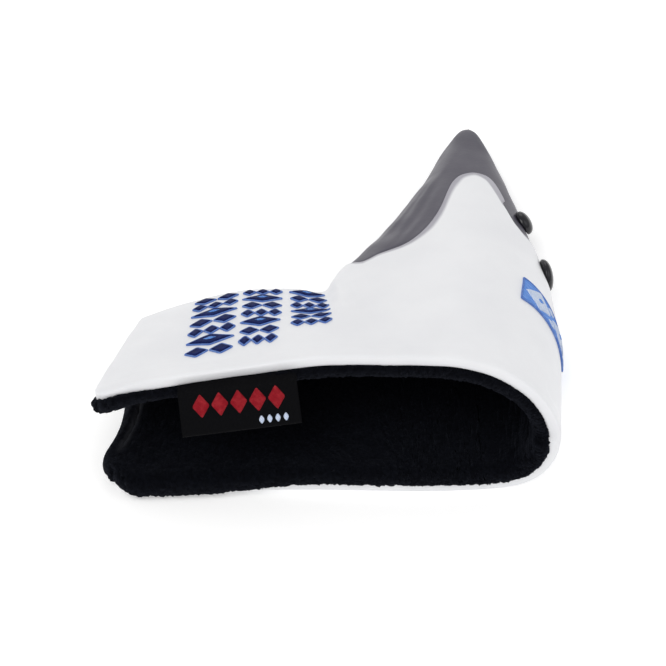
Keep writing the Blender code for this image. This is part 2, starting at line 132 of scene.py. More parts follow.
# The edge of the white leather, as (s of the column that starts there, s, tau). The two differ where a small
# notch is cut in it, beside the eye.
BROW = (
    (0.44, 0.44, 0.0),
    (0.485, 0.485, 0.24),
    (0.53, 0.53, 0.29),
    (0.585, 0.585, 0.342),
    (0.634, 0.634, 0.358),
    (0.682, 0.682, 0.341),
    (0.704, 0.704, 0.323),
    (0.726, 0.726, 0.294),
    (0.751, 0.751, 0.275),
    (0.779, 0.779, 0.277),
    (0.810, 0.810, 0.295),
    (0.838, 0.843, 0.316),
    (0.850, 0.867, 0.332),
    (0.858, 0.891, 0.349),
    (0.862, 0.905, 0.367),
    (0.865, 0.912, 0.392),
    (0.868, 0.910, 0.424),
    (0.871, 0.900, 0.4285),
    (0.874, 0.888, 0.431),
    (0.877, 0.880, 0.440),
    (0.880, 0.877, 0.460),
    (0.885, 0.883, 0.482),
    (0.893, 0.894, 0.497),
    (0.906, 0.908, 0.514),
    (0.928, 0.930, 0.526),
    (1.0, 1.0, 0.548),
)
NOTCH_LEAN = 0.005  # tau over which the notch's columns straighten
# How far the grey leather reaches under the white, as (s, tau).
TOE_REACH = (
    (0.44, 0.02),
    (0.485, 0.26),
    (0.53, 0.31),
    (0.585, 0.362),
    (0.634, 0.380),
    (0.682, 0.363),
    (0.704, 0.346),
    (0.726, 0.320),
    (0.751, 0.298),
    (0.779, 0.300),
    (0.810, 0.322),
    (0.843, 0.370),
    (0.862, 0.440),
    (0.875, 0.495),
    (0.895, 0.524),
    (0.920, 0.546),
    (1.0, 0.572),
)

# The visible toe is a little longer and fuller than the model's, and round: by how much, over what distance.
TIP_BLUNTED, TIP_ROUNDING = 0.0013, 0.0024
TIP_LONGER, TIP_SPREAD = 0.0014, 0.009
TIP_FULLER, FULLER_PLACE, FULLER_WIDTH = 0.0005, 0.0055, 0.0035
TOE_UNDER_WHITE = 0.6 * MM  # how far the grey leather lies below the surface
TOE_TUCK = (0.1, 0.35, 0.6, 0.8)  # how much deeper its last rows go, in millimetres

# What is sewn or fixed on. It is placed as in the model, but the nose is 0.7 mm nearer the mouth, and the
# label is 0.5 mm shorter.
BEADS = (  # name, turn round the fold from its ridge, tau, radius, height of the dome
    ("eye_front", 0.10, 0.478, 0.0038, 0.0024),
    ("eye_back", -0.36, 0.478, 0.0038, 0.0024),
    ("nose", 0.0, 0.608, 0.0050, 0.0024),
)
POST_RADIUS, POST_DEPTH = 0.0007, 0.0033
# The blue patch: where it ends, and its two edges on the ridge and how fast they leave it for the toe. Each
# pair is for its toe edge and its mouth edge.
BAND_TURN, BAND_TAU, BAND_SLOPE = (0.441, 0.500), (0.793, 0.838), (0.273, 0.203)
# The embroidered rows: s of the two sides at the far end, s of the two at the near end, and tau of that end.
ROWS = (
    (0.113, 0.203, 0.118, 0.188, 0.86),
    (0.208, 0.292, 0.193, 0.250, 0.83),
    (0.302, 0.377, 0.274, 0.340, 0.70),
)
ROW_FIRST_TAU = 0.24
# The label: the ends of its sewn edge, how far it hangs, and which way.
LABEL_ENDS = ((-0.0402, 0.0047, 0.0344), (-0.0095, 0.0070, 0.0375))
LABEL_DROP = 0.0121
LABEL_SLOPE = (0.0, -1.0, -1.0)
CUT_S = 0.77  # on the back panel, where the front skins end and the back skins start


def spline(points, knots, at):
    """A smooth curve through points, read at the knot values in at."""
    p, k = np.asarray(points, float), np.asarray(knots, float)
    step = np.diff(k)
    slope = np.diff(p, axis=0) / step[:, None]
    before, after = step[:-1, None], step[1:, None]
    m = np.vstack([slope[:1], (slope[:-1] * after + slope[1:] * before) / (before + after), slope[-1:]])
    i = np.clip(np.searchsorted(k, at, side="right") - 1, 0, len(step) - 1)
    h, t = step[i][:, None], ((at - k[i]) / step[i])[:, None]
    start = (2 * t**3 - 3 * t**2 + 1) * p[i] + (t**3 - 2 * t**2 + t) * h * m[i]
    end = (3 * t**2 - 2 * t**3) * p[i + 1] + (t**3 - t**2) * h * m[i + 1]
    return start + end


def unit(vectors):
    return vectors / np.maximum(np.linalg.norm(vectors, axis=-1, keepdims=True), 1e-9)


def smoothstep(low, high, value):
    t = np.clip((value - low) / (high - low), 0, 1)
    return t * t * (3 - 2 * t)


def moved_in(outline, inset, turn):
    """An outline that starts at the tip, moved into the sleeve. turn is 1 if the sleeve is on its left."""
    p = np.array(outline)
    along = unit(np.gradient(p, axis=0))
    inward = turn * np.column_stack([-along[:, 1], along[:, 0]])
    near_tip = np.clip(1 - np.linalg.norm(p - p[0], axis=1) / TIP_REACH, 0, 1)[:, None]
    moved = p + inward * inset + along * TIP_DRAW * inset * near_tip
    moved[0] = p[0] + np.array(TIP_AXIS) * TIP_DRAW * inset
    return moved


def knots_of(points):
    lengths = np.linalg.norm(np.diff(np.asarray(points), axis=0), axis=1)
    return np.concatenate([[0], np.cumsum(lengths)]) / lengths.sum()


RIDGE_KNOTS = knots_of(RIDGE)


def linear_in_inset(curve):
    """The same curve, for insets that differ from point to point. Each curve here is linear in its inset."""

    def with_insets(*args):
        *rest, inset = args
        base = curve(*rest, 0.0)
        return base + (curve(*rest, MM) - base) * (np.asarray(inset) / MM)[:, None]

    return with_insets


@linear_in_inset
def seam_at(s, inset):
    return spline(moved_in(SEAM, inset, 1)[::-1], SEAM_S[::-1], s)


def mouth_line(s, side, inset):
    points = np.array(MOUTH[side])
    x = np.interp(s, [0, SPLIT_S, 1], [points[0, 0], SPLIT_MOUTH_X, points[-1, 0] - inset])
    x = x + np.minimum(s, 0) * (SPLIT_MOUTH_X - points[0, 0]) / SPLIT_S
    return np.column_stack([x, spline(points[:, 1:], points[:, 0], x)])


mouth_at = linear_in_inset(mouth_line)


@linear_in_inset
def ridge_at(t, inset):
    points = moved_in(RIDGE, inset, -1)
    points[-1] = mouth_line(np.array([1.0]), FRONT, inset)[0]
    return spline(points, RIDGE_KNOTS, t)


def wall_points(side, s, tau, inset=0.0, setback=0.0):
    """Points of the wall. The arguments are arrays or numbers; side is one of the two. setback is how far
    short of the mouth tau 1 is, and less than 0 where the skin hangs over the edge."""
    s, tau, inset, setback = (a.astype(float) for a in np.broadcast_arrays(s, tau, inset, setback))
    shape = s.shape
    s, tau, inset, setback = s.ravel(), tau.ravel(), inset.ravel(), setback.ravel()
    fold = FOLD_STARTS[side]
    angle = np.clip((s - fold) / (1 - fold), 0, 1) * pi / 2
    g = np.where(s > fold, fold + (1 - fold) * np.sin(angle) ** FOLD_POWER[side], s)
    panel = np.where(s > fold, np.maximum(np.cos(angle), 0) ** FOLD_POWER[side], 1.0)

    seam, mouth = seam_at(g, inset), mouth_at(g, side, inset)
    length = np.linalg.norm(mouth - seam, axis=1)
    away = unit(mouth - seam)
    tangent = unit(seam_at(np.minimum(g + 0.001, 1), inset) - seam_at(np.minimum(g, 1) - 0.001, inset))
    slant = np.maximum(abs(tangent[:, 0] * away[:, 1] - tangent[:, 1] * away[:, 0]), 0.4)
    radius = np.maximum(SEAM_HEIGHT - inset, 0.0004) / slant
    edge_angle = np.clip(tau / EDGE_TAU, 0, 1) * pi / 2
    flat = radius + (length - radius - setback) * (tau - EDGE_TAU) / (1 - EDGE_TAU)
    distance = np.where(tau < EDGE_TAU, radius * (1 - np.cos(edge_angle)), flat)
    edge = np.sin(edge_angle)
    t = distance / length

    zero = np.zeros_like(g)
    neck_seam, neck_mouth = seam_at(zero, inset), mouth_at(zero, side, inset)
    along_mouth = np.linalg.norm(mouth - neck_mouth, axis=1)
    along_seam = np.linalg.norm(seam - neck_seam, axis=1)
    from_neck = (along_mouth * t + along_seam * (1 - t)) * np.where(s < 0, -1, 1)
    from_mouth = (1 - t) * length
    corner = CORNER_RADIUS[side]
    in_corner = (from_neck < corner) & (from_mouth < corner)
    u = np.where(in_corner, np.minimum(1 - from_neck / corner, 1), 0)
    v = np.where(in_corner, np.minimum(1 - from_mouth / corner, 1), 0)
    into_u = CORNER_CUT[side] * corner * u * (1 - np.sqrt(1 - v * v / 2))
    into_v = CORNER_CUT[side] * corner * v * (1 - np.sqrt(1 - u * u / 2))
    if side == BACK:
        near = np.exp(-(((from_mouth - WAIST_PLACE) / WAIST_WIDTH) ** 2))
        into_u = into_u + WAIST_DEPTH * near * np.clip(1 - from_neck / WAIST_REACH, 0, 1)
    ahead = mouth_at(np.minimum(g, 0.999) + 0.001, side, inset)
    across = unit(ahead - mouth_at(np.minimum(g, 0.999), side, inset))

    tip, heel = ridge_at(zero, inset), ridge_at(zero + 1, inset)
    t_ = t[:, None]
    bulge = ridge_at(t, inset) - ((1 - t_) * tip + t_ * heel)
    plan = (1 - t_) * seam + t_ * mouth + (np.maximum(g, 0) ** 4)[:, None] * bulge
    plan = plan + across * into_u[:, None] - away * into_v[:, None]

    middle = SEAM_HEIGHT + (FOLD_HEIGHT - SEAM_HEIGHT) * t
    if side == BACK:
        z = middle - (middle - inset) * panel * edge
    else:
        rise = smoothstep(HEIGHT_RISES_FROM, HEIGHT_RISES_TO, g)
        mouth_height = NECK_HEIGHT + (HEAD_HEIGHT - NECK_HEIGHT) * rise
        mouth_height = mouth_height - CORNER_DROOP * np.clip(1 - from_neck / DROOP_WIDTH, 0, 1) ** 2
        top = 2 * SEAM_HEIGHT + (mouth_height - 2 * SEAM_HEIGHT) * np.maximum(t, 0) ** FULLNESS
        line = SINK_LINE - SINK_SLANT * t
        step = smoothstep(line + SINK_STEP[0], line + SINK_STEP[1], g)
        sink = SINK_DEPTH * smoothstep(SINK_FROM, line - SINK_FULL, g) * step
        sink = sink * smoothstep(*SINK_FADES, t) * np.clip(1 - inset / (top - middle), 0, 1)
        z = middle + (top - sink - inset - middle) * panel * edge
    return (np.column_stack([plan, z]) + MOVE).reshape(*shape, 3)


def on_sides(sides, s, tau, inset=0.0, setback=0.0):
    """wall_points() where the side differs from point to point."""
    sides, s, tau, inset, setback = np.broadcast_arrays(sides, s, tau, inset, setback)
    out = np.zeros(s.shape + (3,))
    for side in (FRONT, BACK):
        m = sides == side
        if m.any():
            out[m] = wall_points(side, s[m], tau[m], inset[m], setback[m])
    return out


def white_edge(s):
    """(s, tau) of the white leather's edge, for an array of s at the mouth."""
    line = np.array(BROW)
    value = spline(line[:, 1:], line[:, 0], np.clip(s, line[0, 0], 1))
    on_neck = s <= line[0, 0]
    return np.where(on_neck, s, value[:, 0]), np.where(on_neck, 0.0, np.maximum(value[:, 1], 0))


def toe_reach(s):
    line = np.array(TOE_REACH)
    return spline(line[:, 1:], line[:, 0], s)[:, 0]


def fold_stations(turn):
    """Sides and s of places on the fold: turn is 0 on the ridge, 1 where the front panel starts to turn into
    it, and -1 where the back one does."""
    sides = np.where(turn >= 0, FRONT, BACK)
    starts = np.where(turn >= 0, FOLD_STARTS[FRONT], FOLD_STARTS[BACK])
    return sides, 1 - abs(turn) * (1 - starts)


def waves(points, length, seed, count=14):
    """Smooth noise from -1 to 1 at points, with features of about that length."""
    rng = np.random.default_rng(seed)
    directions = unit(rng.normal(size=(count, 3)))
    lengths = length * rng.uniform(0.7, 1.5, count)
    phases = rng.uniform(0, 2 * pi, count)
    angles = points @ (directions / lengths[:, None]).T * 2 * pi + phases
    return np.sin(angles).sum(axis=-1) / (count * 0.5) ** 0.5 / 1.6


# ---------------------------------------------------------------- meshes


def add_object(name, data):
    obj = bpy.data.objects.new(name, data)
    bpy.context.scene.collection.objects.link(obj)
    return obj


def link(name, mesh, materials):
    for material in materials:
        mesh.materials.append(material)
    return add_object(name, mesh)


def grid_faces(rows, columns):
    """The quads of a grid, as numbers of its points."""
    index = np.arange(rows * columns).reshape(rows, columns)
    return np.stack([index[:-1, :-1], index[1:, :-1], index[1:, 1:], index[:-1, 1:]], axis=-1).reshape(-1, 4)


def grid_mesh(name, points):
    """A sheet of quads through a grid of points, (rows, columns, 3)."""
    mesh = bpy.data.meshes.new(name)
    mesh.from_pydata(points.reshape(-1, 3).tolist(), [], grid_faces(*points.shape[:2]).tolist())
    mesh.shade_smooth()
    return mesh


def add_value(mesh, name, values):
    """A number for each vertex, which a material reads by name."""
    attribute = mesh.attributes.new(name, "FLOAT", "POINT")
    attribute.data.foreach_set("value", np.asarray(values, np.float32).ravel())


def skin_points(sides, s, ends, rows, deepest, bump, lean=None):
    """The grid of a skin, and the side, s and tau of its points. sides and s are its stations, and ends is
    (distance short of the neck end, inset) for each. rows(sides, s) gives tau, setback and inset, each
    (stations, rows). Where a station and a row both turn into the wall, the skin takes the deeper of the two
    insets, or the shallower if not deepest. bump adds to the inset. lean(s, tau) moves points along s."""
    tau, setback, inset = rows(sides, s)
    inset = (np.maximum if deepest else np.minimum)(inset, ends[:, 1:])
    sides = np.broadcast_to(sides[:, None], tau.shape)
    moved = 0.0 if lean is None else lean(s, tau)
    s = np.broadcast_to(s[:, None], tau.shape) + ends[:, :1] / NECK_S_LENGTH + moved
    inset = inset + bump(sides, s, tau, setback)
    return on_sides(sides, s, tau, inset, setback), sides, s, tau


def with_neck_end(sides, s, rim, plain_inset):
    """Adds a neck end's rim to stations that end at s = 0. rim is (distance short, inset) pairs, from the
    open surface to the hidden end. The stations' own inset is plain_inset."""
    own = np.column_stack([np.zeros(len(s)), np.full(len(s), plain_inset)])
    sides = np.concatenate([sides, np.full(len(rim), sides[-1])])
    return sides, np.concatenate([s, np.zeros(len(rim))]), np.concatenate([own, rim])


# ---------------------------------------------------------------- materials


def node_material(name, colour, roughness, **sockets):
    """A Principled material and its node tree. sockets are other inputs of the shader, by name."""
    material = bpy.data.materials.new(name)
    material.use_nodes = True
    material.diffuse_color = (*colour, 1)
    shader = material.node_tree.nodes["Principled BSDF"]
    shader.inputs["Base Color"].default_value = (*colour, 1)
    shader.inputs["Roughness"].default_value = roughness
    for key, value in sockets.items():
        shader.inputs[key.replace("_", " ")].default_value = value
    return material, material.node_tree, shader


def feed(tree, socket, value):
    """Gives a socket a value, or a link from another node's output."""
    if isinstance(value, bpy.types.NodeSocket):
        tree.links.new(value, socket)
    else:
        socket.default_value = value


def add_node(tree, kind, inputs=None, **settings):
    node = tree.nodes.new("ShaderNode" + kind)
    for key, value in settings.items():
        setattr(node, key, value)
    for key, value in (inputs or {}).items():
        feed(tree, node.inputs[key], value)
    return node


def ramp(tree, fac, stops):
    """A colour ramp over fac. stops are (position, colour or number)."""
    node = add_node(tree, "ValToRGB", {"Fac": fac})
    elements = node.color_ramp.elements
    while len(elements) < len(stops):
        elements.new(0.5)
    for element, (position, colour) in zip(elements, stops):
        element.position = position
        element.color = (colour,) * 3 + (1,) if isinstance(colour, (int, float)) else (*colour, 1)
    return node.outputs["Color"]


def mix(tree, fac, a, b):
    node = add_node(tree, "Mix", data_type="RGBA")
    for key, value in ((0, fac), (6, a), (7, b)):
        feed(tree, node.inputs[key], (*value, 1) if isinstance(value, tuple) else value)
    return node.outputs[2]


def between(tree, fac, low, high, a, b, amount=1.0):
    """Colour a where fac is under low. From there to high it turns to b, or to that amount of b."""
    return mix(tree, ramp(tree, fac, ((low, 0.0), (high, amount))), a, b)


def math(tree, operation, *values):
    node = add_node(tree, "Math", operation=operation)
    for socket, value in zip(node.inputs, values):
        feed(tree, socket, value)
    return node.outputs[0]


def object_coordinates(tree):
    return add_node(tree, "TexCoord").outputs["Object"]


def value_of(tree, name):
    return add_node(tree, "Attribute", attribute_name=name).outputs["Fac"]


def noise(tree, scale, detail=4.0, roughness=0.5):
    """Noise with features of about 1 / scale metres."""
    inputs = {"Vector": object_coordinates(tree), "Scale": scale, "Detail": detail, "Roughness": roughness}
    return add_node(tree, "TexNoise", inputs).outputs["Fac"]


def cells(tree, scale, feature="F1", **inputs):
    """Round cells of about 1 / scale metres: the distance from the middle of each."""
    inputs.update(Vector=object_coordinates(tree), Scale=scale)
    return add_node(tree, "TexVoronoi", inputs, feature=feature).outputs["Distance"]


def bump(tree, shader, height, distance, strength):
    inputs = {"Height": height, "Distance": distance, "Strength": strength}
    tree.links.new(add_node(tree, "Bump", inputs).outputs["Normal"], shader.inputs["Normal"])


def vary_roughness(tree, shader, fac, low, high):
    """Roughness that follows fac. low and high are (fac, roughness) pairs."""
    tree.links.new(ramp(tree, fac, (low, high)), shader.inputs["Roughness"])


def paint(tree, shader, colour):
    tree.links.new(colour, shader.inputs["Base Color"])


def leather(name, colour, shade, edge, roughness):
    """Coated leather: a fine pebble grain, slow mottling, and darker pores. edge is the grey of a painted
    shade along a cut edge.
    """
    material, tree, shader = node_material(name, colour, roughness, Specular_IOR_Level=0.42)
    grain = cells(tree, 1150.0, feature="SMOOTH_F1", Randomness=0.9)
    mottled = between(tree, noise(tree, 45.0, 3.0), 0.35, 0.68, colour, shade)
    pores = between(tree, grain, 0.62, 0.95, mottled, shade, 0.22)
    # The edge attribute lays the painted shade of a cut edge over the leather.
    paint(tree, shader, mix(tree, value_of(tree, "edge"), pores, edge))
    vary_roughness(tree, shader, noise(tree, 120.0), (0.3, roughness - 0.06), (0.7, roughness + 0.10))
    fine = noise(tree, 2600.0, 2.0)
    bump(tree, shader, math(tree, "MULTIPLY_ADD", fine, 0.25, grain), 0.00007, 0.45)
    return material


def plush(name, colour, tip_colour, painted_fold_highlight):
    """Short dense pile, which looks lighter where it is seen from the side, and has a painted highlight along
    the crest of a fold.
    """
    material, tree, shader = node_material(
        name, colour, 1.0, Sheen_Weight=0.06, Sheen_Roughness=0.45, Specular_IOR_Level=0.05
    )
    shader.inputs["Sheen Tint"].default_value = (0.45, 0.50, 0.68, 1)
    tufts = noise(tree, 900.0, 5.0, 0.7)
    clumps = noise(tree, 160.0, 3.0)
    coloured = between(tree, tufts, 0.4, 0.75, colour, tip_colour)
    shaded = between(tree, clumps, 0.35, 0.7, coloured, colour, 0.5)
    # The fold attribute lays a painted highlight over the pile along the fold's crest.
    paint(tree, shader, mix(tree, value_of(tree, "fold"), shaded, painted_fold_highlight))
    bump(tree, shader, math(tree, "MULTIPLY_ADD", clumps, 1.5, tufts), 0.0009, 0.8)
    return material


def thread(name, colour, painted_groove_shade, light, pitch, slope=0.0):
    """Satin stitching: parallel threads across UV, in metres, with painted shade in the grooves between them
    and a painted highlight on their crowns. slope turns them, in radians.
    """
    material, tree, shader = node_material(
        name, colour, 0.6, Sheen_Weight=0.01, Sheen_Roughness=0.35, Specular_IOR_Level=0.08
    )
    uv = add_node(tree, "UVMap").outputs["UV"]
    turned = add_node(tree, "Mapping", {"Vector": uv, "Rotation": (0, 0, slope), "Scale": (1 / pitch,) * 3})
    x = add_node(tree, "SeparateXYZ", {"Vector": turned.outputs["Vector"]}).outputs["X"]
    phase = math(tree, "MULTIPLY_ADD", noise(tree, 900.0, 2.0), 0.7, x)
    stripe = math(tree, "PINGPONG", phase, 0.5)
    ridge = ramp(tree, math(tree, "MULTIPLY", stripe, 2.0), ((0.0, 0.0), (0.55, 0.85), (1.0, 1.0)))
    # The crowns get a patchy painted highlight, and the grooves between threads a painted shade.
    painted_crown = between(tree, noise(tree, 700.0, 3.0), 0.42, 0.7, colour, light, 0.75)
    paint(tree, shader, mix(tree, ridge, painted_groove_shade, painted_crown))
    bump(tree, shader, ridge, 0.00012, 0.9)
    return material


WARP_PITCH, WEFT_PITCH = 0.00034, 0.00026


def woven(name, colour, light):
    """A fine damask ribbon, with warp and weft in UV, in metres, and a painted highlight where their crowns
    cross.
    """
    material, tree, shader = node_material(
        name, colour, 0.8, Sheen_Weight=0.01, Sheen_Roughness=0.4, Specular_IOR_Level=0.06
    )
    split = add_node(tree, "SeparateXYZ", {"Vector": add_node(tree, "UVMap").outputs["UV"]})
    strands = []
    for axis, pitch in (("X", WARP_PITCH), ("Y", WEFT_PITCH)):
        across = math(tree, "PINGPONG", math(tree, "MULTIPLY", split.outputs[axis], 1 / pitch), 0.5)
        strands.append(math(tree, "MULTIPLY", across, 2.0))
    cross = math(tree, "MULTIPLY", *strands)
    fibre = math(tree, "MULTIPLY", cross, noise(tree, 1500.0, 3.0))
    # Where warp and weft cross, the colour turns to light, a painted highlight.
    paint(tree, shader, between(tree, fibre, 0.02, 0.5, colour, light))
    bump(tree, shader, cross, 0.00010, 0.8)
    return material


def polished(name, colour, roughness):
    """Moulded plastic, polished, with faint scuffs."""
    material, tree, shader = node_material(
        name, colour, roughness, Coat_Weight=0.12, Coat_Roughness=0.04, Specular_IOR_Level=0.3
    )
    scuffs = noise(tree, 1800.0, 6.0, 0.7)
    vary_roughness(tree, shader, scuffs, (0.42, roughness * 0.6), (0.72, roughness * 1.9))
    lighter = tuple(min(1, c * 1.6 + 0.004) for c in colour)
    paint(tree, shader, between(tree, noise(tree, 260.0, 3.0), 0.4, 0.8, colour, lighter, 0.6))
    bump(tree, shader, scuffs, 0.00001, 0.2)
    return material


def felt(name, colour, shade):
    """Cut foam or felt: fine cells and a rough face."""
    material, tree, shader = node_material(name, colour, 0.95, Specular_IOR_Level=0.1)
    pores = cells(tree, 900.0)
    paint(tree, shader, between(tree, pores, 0.2, 0.7, colour, shade))
    bump(tree, shader, pores, 0.0003, 0.6)
    return material


def plated(name, colour):
    material, tree, shader = node_material(name, colour, 0.25, Metallic=1.0)
    brushed = noise(tree, 700.0, 5.0)
    vary_roughness(tree, shader, brushed, (0.3, 0.18), (0.7, 0.38))
    bump(tree, shader, brushed, 0.00001, 0.2)
    return material


NAVY, RED = (0.006, 0.013, 0.092), (0.34, 0.010, 0.020)
# Each name, its maker, and the maker's colours and settings.
MATERIALS = {
    name: maker(name, *settings)
    for name, maker, *settings in (
        # The leathers' third colour is the painted shade along a cut edge.
        ("white_leather", leather, (0.800, 0.804, 0.822), (0.762, 0.766, 0.788), (0.36, 0.35, 0.395), 0.42),
        ("grey_leather", leather, (0.080, 0.075, 0.097), (0.064, 0.060, 0.080), (0.19, 0.18, 0.2), 0.42),
        ("foam", felt, (0.72, 0.71, 0.68), (0.55, 0.54, 0.51)),
        # The plush's third colour is the painted highlight on the lining's fold.
        ("plush", plush, (0.0016, 0.0018, 0.0030), (0.0048, 0.0056, 0.0092), (0.060, 0.062, 0.070)),
        # Each thread's colours: its own, the painted shade between its threads, and the painted highlight on
        # their crowns.
        ("navy_thread", thread, NAVY, (0.002, 0.004, 0.030), (0.014, 0.032, 0.19), 0.00036, 0.8),
        ("edge_thread", thread, (0.14, 0.26, 0.68), (0.04, 0.09, 0.32), (0.30, 0.46, 0.86), 0.0003),
        ("blue_thread", thread, (0.14, 0.32, 0.80), (0.07, 0.18, 0.52), (0.27, 0.46, 0.90), 0.00036, 0.5),
        ("white_thread", thread, (0.66, 0.74, 0.88), (0.36, 0.46, 0.70), (0.84, 0.88, 0.95), 0.00036, -0.7),
        ("red_thread", thread, RED, (0.12, 0.003, 0.006), (0.50, 0.035, 0.045), 0.0003, 1.57),
        # The label's second colour is the painted highlight on its weave.
        ("label", woven, (0.0018, 0.0018, 0.0024), (0.0048, 0.0048, 0.0060)),
        ("bead", polished, (0.006, 0.006, 0.009), 0.09),
        ("washer", polished, (0.55, 0.54, 0.50), 0.35),
        ("magnet", plated, (0.60, 0.60, 0.62)),
    )
}


# ---------------------------------------------------------------- the sleeve's skins


# The padding's hollows (depth, length, seed), the puckers beside the hem, and the hem's groove.
HOLLOWS = ((0.30 * MM, 0.034, 3), (0.10 * MM, 0.011, 5))
PUCKER_DEPTH, PUCKER_PITCH, PUCKER_REACH = 0.13 * MM, 0.0105, 0.007
GROOVE_DEPTH, GROOVE_PLACE, GROOVE_WIDTH = 0.20 * MM, 0.0048, 0.0007


def relief(sides, s, tau):
    """How far the padded leather dips, as an inset: slow hollows, puckers beside the hem, and a dimple round
    each bead. The underside only dips, because it rests on the floor."""
    flat = on_sides(sides, s, tau)
    slow = sum(depth * waves(flat, length, seed) for depth, length, seed in HOLLOWS)
    from_edge = np.linalg.norm(on_sides(sides, s, 1.0) - flat, axis=-1)
    phase = flat[..., 0] / PUCKER_PITCH * 2 * pi + 2.2 * waves(flat, 0.03, 7)
    pucker = PUCKER_DEPTH * np.sin(phase) * np.exp(-from_edge / PUCKER_REACH)
    pucker = pucker * smoothstep(0.001, 0.004, from_edge)
    dip = slow + pucker + GROOVE_DEPTH * np.exp(-(((from_edge - GROOVE_PLACE) / GROOVE_WIDTH) ** 2))
    for centre, depth, width in BEAD_DIMPLES:
        distance = np.linalg.norm(flat - centre, axis=-1)
        dip = dip + depth * np.exp(-((distance / width) ** 2))
    calm = smoothstep(0.0, 0.10, tau)
    under = (np.asarray(sides) == BACK) * smoothstep(0.995, 0.93, s)
    return (dip + (abs(dip) - dip) * under) * calm


BEAD_DIMPLES = [  # centre, depth, width
    (on_sides(*fold_stations(np.array(turn)), tau), 0.06 * radius, 1.35 * radius)
    for _, turn, tau, radius, _ in BEADS
]
BEAD_SEAT = {"eye_front": 0.0006, "eye_back": 0.0006, "nose": 0.0001}  # how far each is pressed in


def tau_per_metre(sides, s, tau):
    ahead = on_sides(sides, s, tau + 0.002) - on_sides(sides, s, tau)
    return 0.002 / np.maximum(np.linalg.norm(ahead, axis=-1), 1e-5)


# Profiles across an edge, in millimetres: distance from the edge line, and inset.
CUT_EDGE = ((-0.2, 1.30), (0.02, 0.86), (0.40, 0.50), (0.9, 0.28), (1.7, 0.12), (2.2, 0.04), (2.9, 0.0))
SEAM_EDGE = ((0.0, 0.88), (0.12, 0.53), (0.38, 0.22), (0.8, 0.06), (1.5, 0.0))
# How much of the painted shade on the cut edge's band each point of CUT_EDGE has.
CUT_EDGE_SHADE = (1.0, 1.0, 1.0, 1.0, 1.0, 0.55, 0.0)
TURNED_HEM = (
    *((1.6, 0.0), (0.9, 0.03), (0.4, 0.20), (0.08, 0.62), (0.0, 1.2)),
    *((0.0, 2.4), (0.12, 3.2), (0.5, 3.7), (1.4, 3.9), (4.5, 3.95)),
)
WHITE_ROWS, TOE_ROWS, PILE_ROWS = 50, 40, 64  # between one edge and the other
SHARPEST_SLANT = 0.62  # the least sine of the angle that the white edge makes with the way to the mouth


def profile(pairs, count=None):
    """A profile in metres, drawn as a smooth curve through count points if count is given."""
    points = np.array(pairs) * MM
    return points if count is None else spline(points, knots_of(points), np.linspace(0, 1, count))


def leather_rows(sides, s):
    """Rows of the white leather: from its edge, over the panel, to the turned hem at the mouth."""
    first = white_edge(s)[1]
    edge, rim = profile(CUT_EDGE), profile(TURNED_HEM)
    line = on_sides(sides, *white_edge(s))
    toward_mouth = unit(on_sides(sides, s, first + 0.002) - on_sides(sides, s, first))
    slant = np.linalg.norm(np.cross(unit(np.gradient(line, axis=0)), toward_mouth), axis=1)
    held = smoothstep(0.83, 0.80, s) * smoothstep(0.44, 0.50, s)
    slant = 1 - (1 - np.maximum(slant, SHARPEST_SLANT)) * held
    scale = (tau_per_metre(sides, s, first) / slant)[:, None]
    edge_tau = np.maximum(first[:, None] + edge[:, 0] * scale, 0)
    share = np.linspace(0, 1, WHITE_ROWS + 1)[1:-1]
    panel_tau = edge_tau[:, -1:] + (1 - edge_tau[:, -1:]) * share
    rim_tau = np.ones((len(s), len(rim)))
    tau = np.hstack([edge_tau, panel_tau, rim_tau])
    setback = np.zeros_like(tau)
    setback[:, -len(rim) :] = rim[:, 0]
    setback[:, len(edge) : -len(rim)] = rim[0, 0] * share
    inset = np.zeros_like(tau)
    inset[:, : len(edge)] = edge[:, 1]
    inset[:, -len(rim) :] = rim[:, 1]
    return tau, setback, inset


def toe_rows(sides, s):
    """Rows of the grey toe, from the closed seam to a little way under the white leather."""
    last = toe_reach(s)
    edge = profile(SEAM_EDGE)
    scale = tau_per_metre(sides, s, np.zeros_like(s))[:, None]
    edge_tau = np.minimum(edge[:, 0] * scale, last[:, None] * np.linspace(0, 0.5, len(edge)))
    share = np.linspace(0, 1, TOE_ROWS)[1:]
    panel_tau = edge_tau[:, -1:] + (last[:, None] - edge_tau[:, -1:]) * share
    tau = np.hstack([edge_tau, panel_tau])
    inset = np.full_like(tau, TOE_UNDER_WHITE)
    inset[:, : len(edge)] += edge[:, 1]
    skin = on_sides(sides[:, None], s[:, None], tau)
    from_tip = np.linalg.norm(skin - wall_points(FRONT, 1.0, 0.0), axis=-1)
    inset *= 1 - 0.9 * np.exp(-((from_tip / 0.010) ** 2))
    fuller = np.exp(-(((from_tip - FULLER_PLACE) / FULLER_WIDTH) ** 2)) * smoothstep(0.0, 0.03, tau)
    inset -= TIP_FULLER * fuller
    inset[:, -len(TOE_TUCK) :] += np.array(TOE_TUCK) * MM
    return tau, np.zeros_like(tau), inset


def stations(*spans):
    """Stations through spans of (side, from s, to s, count), without the repeated ends."""
    sides, s = [], []
    for n, (side, first, last, count) in enumerate(spans):
        values = np.linspace(first, last, count)[0 if n == 0 else 1 :]
        sides.append(np.full(len(values), side))
        s.append(values)
    return np.concatenate(sides), np.concatenate(s)


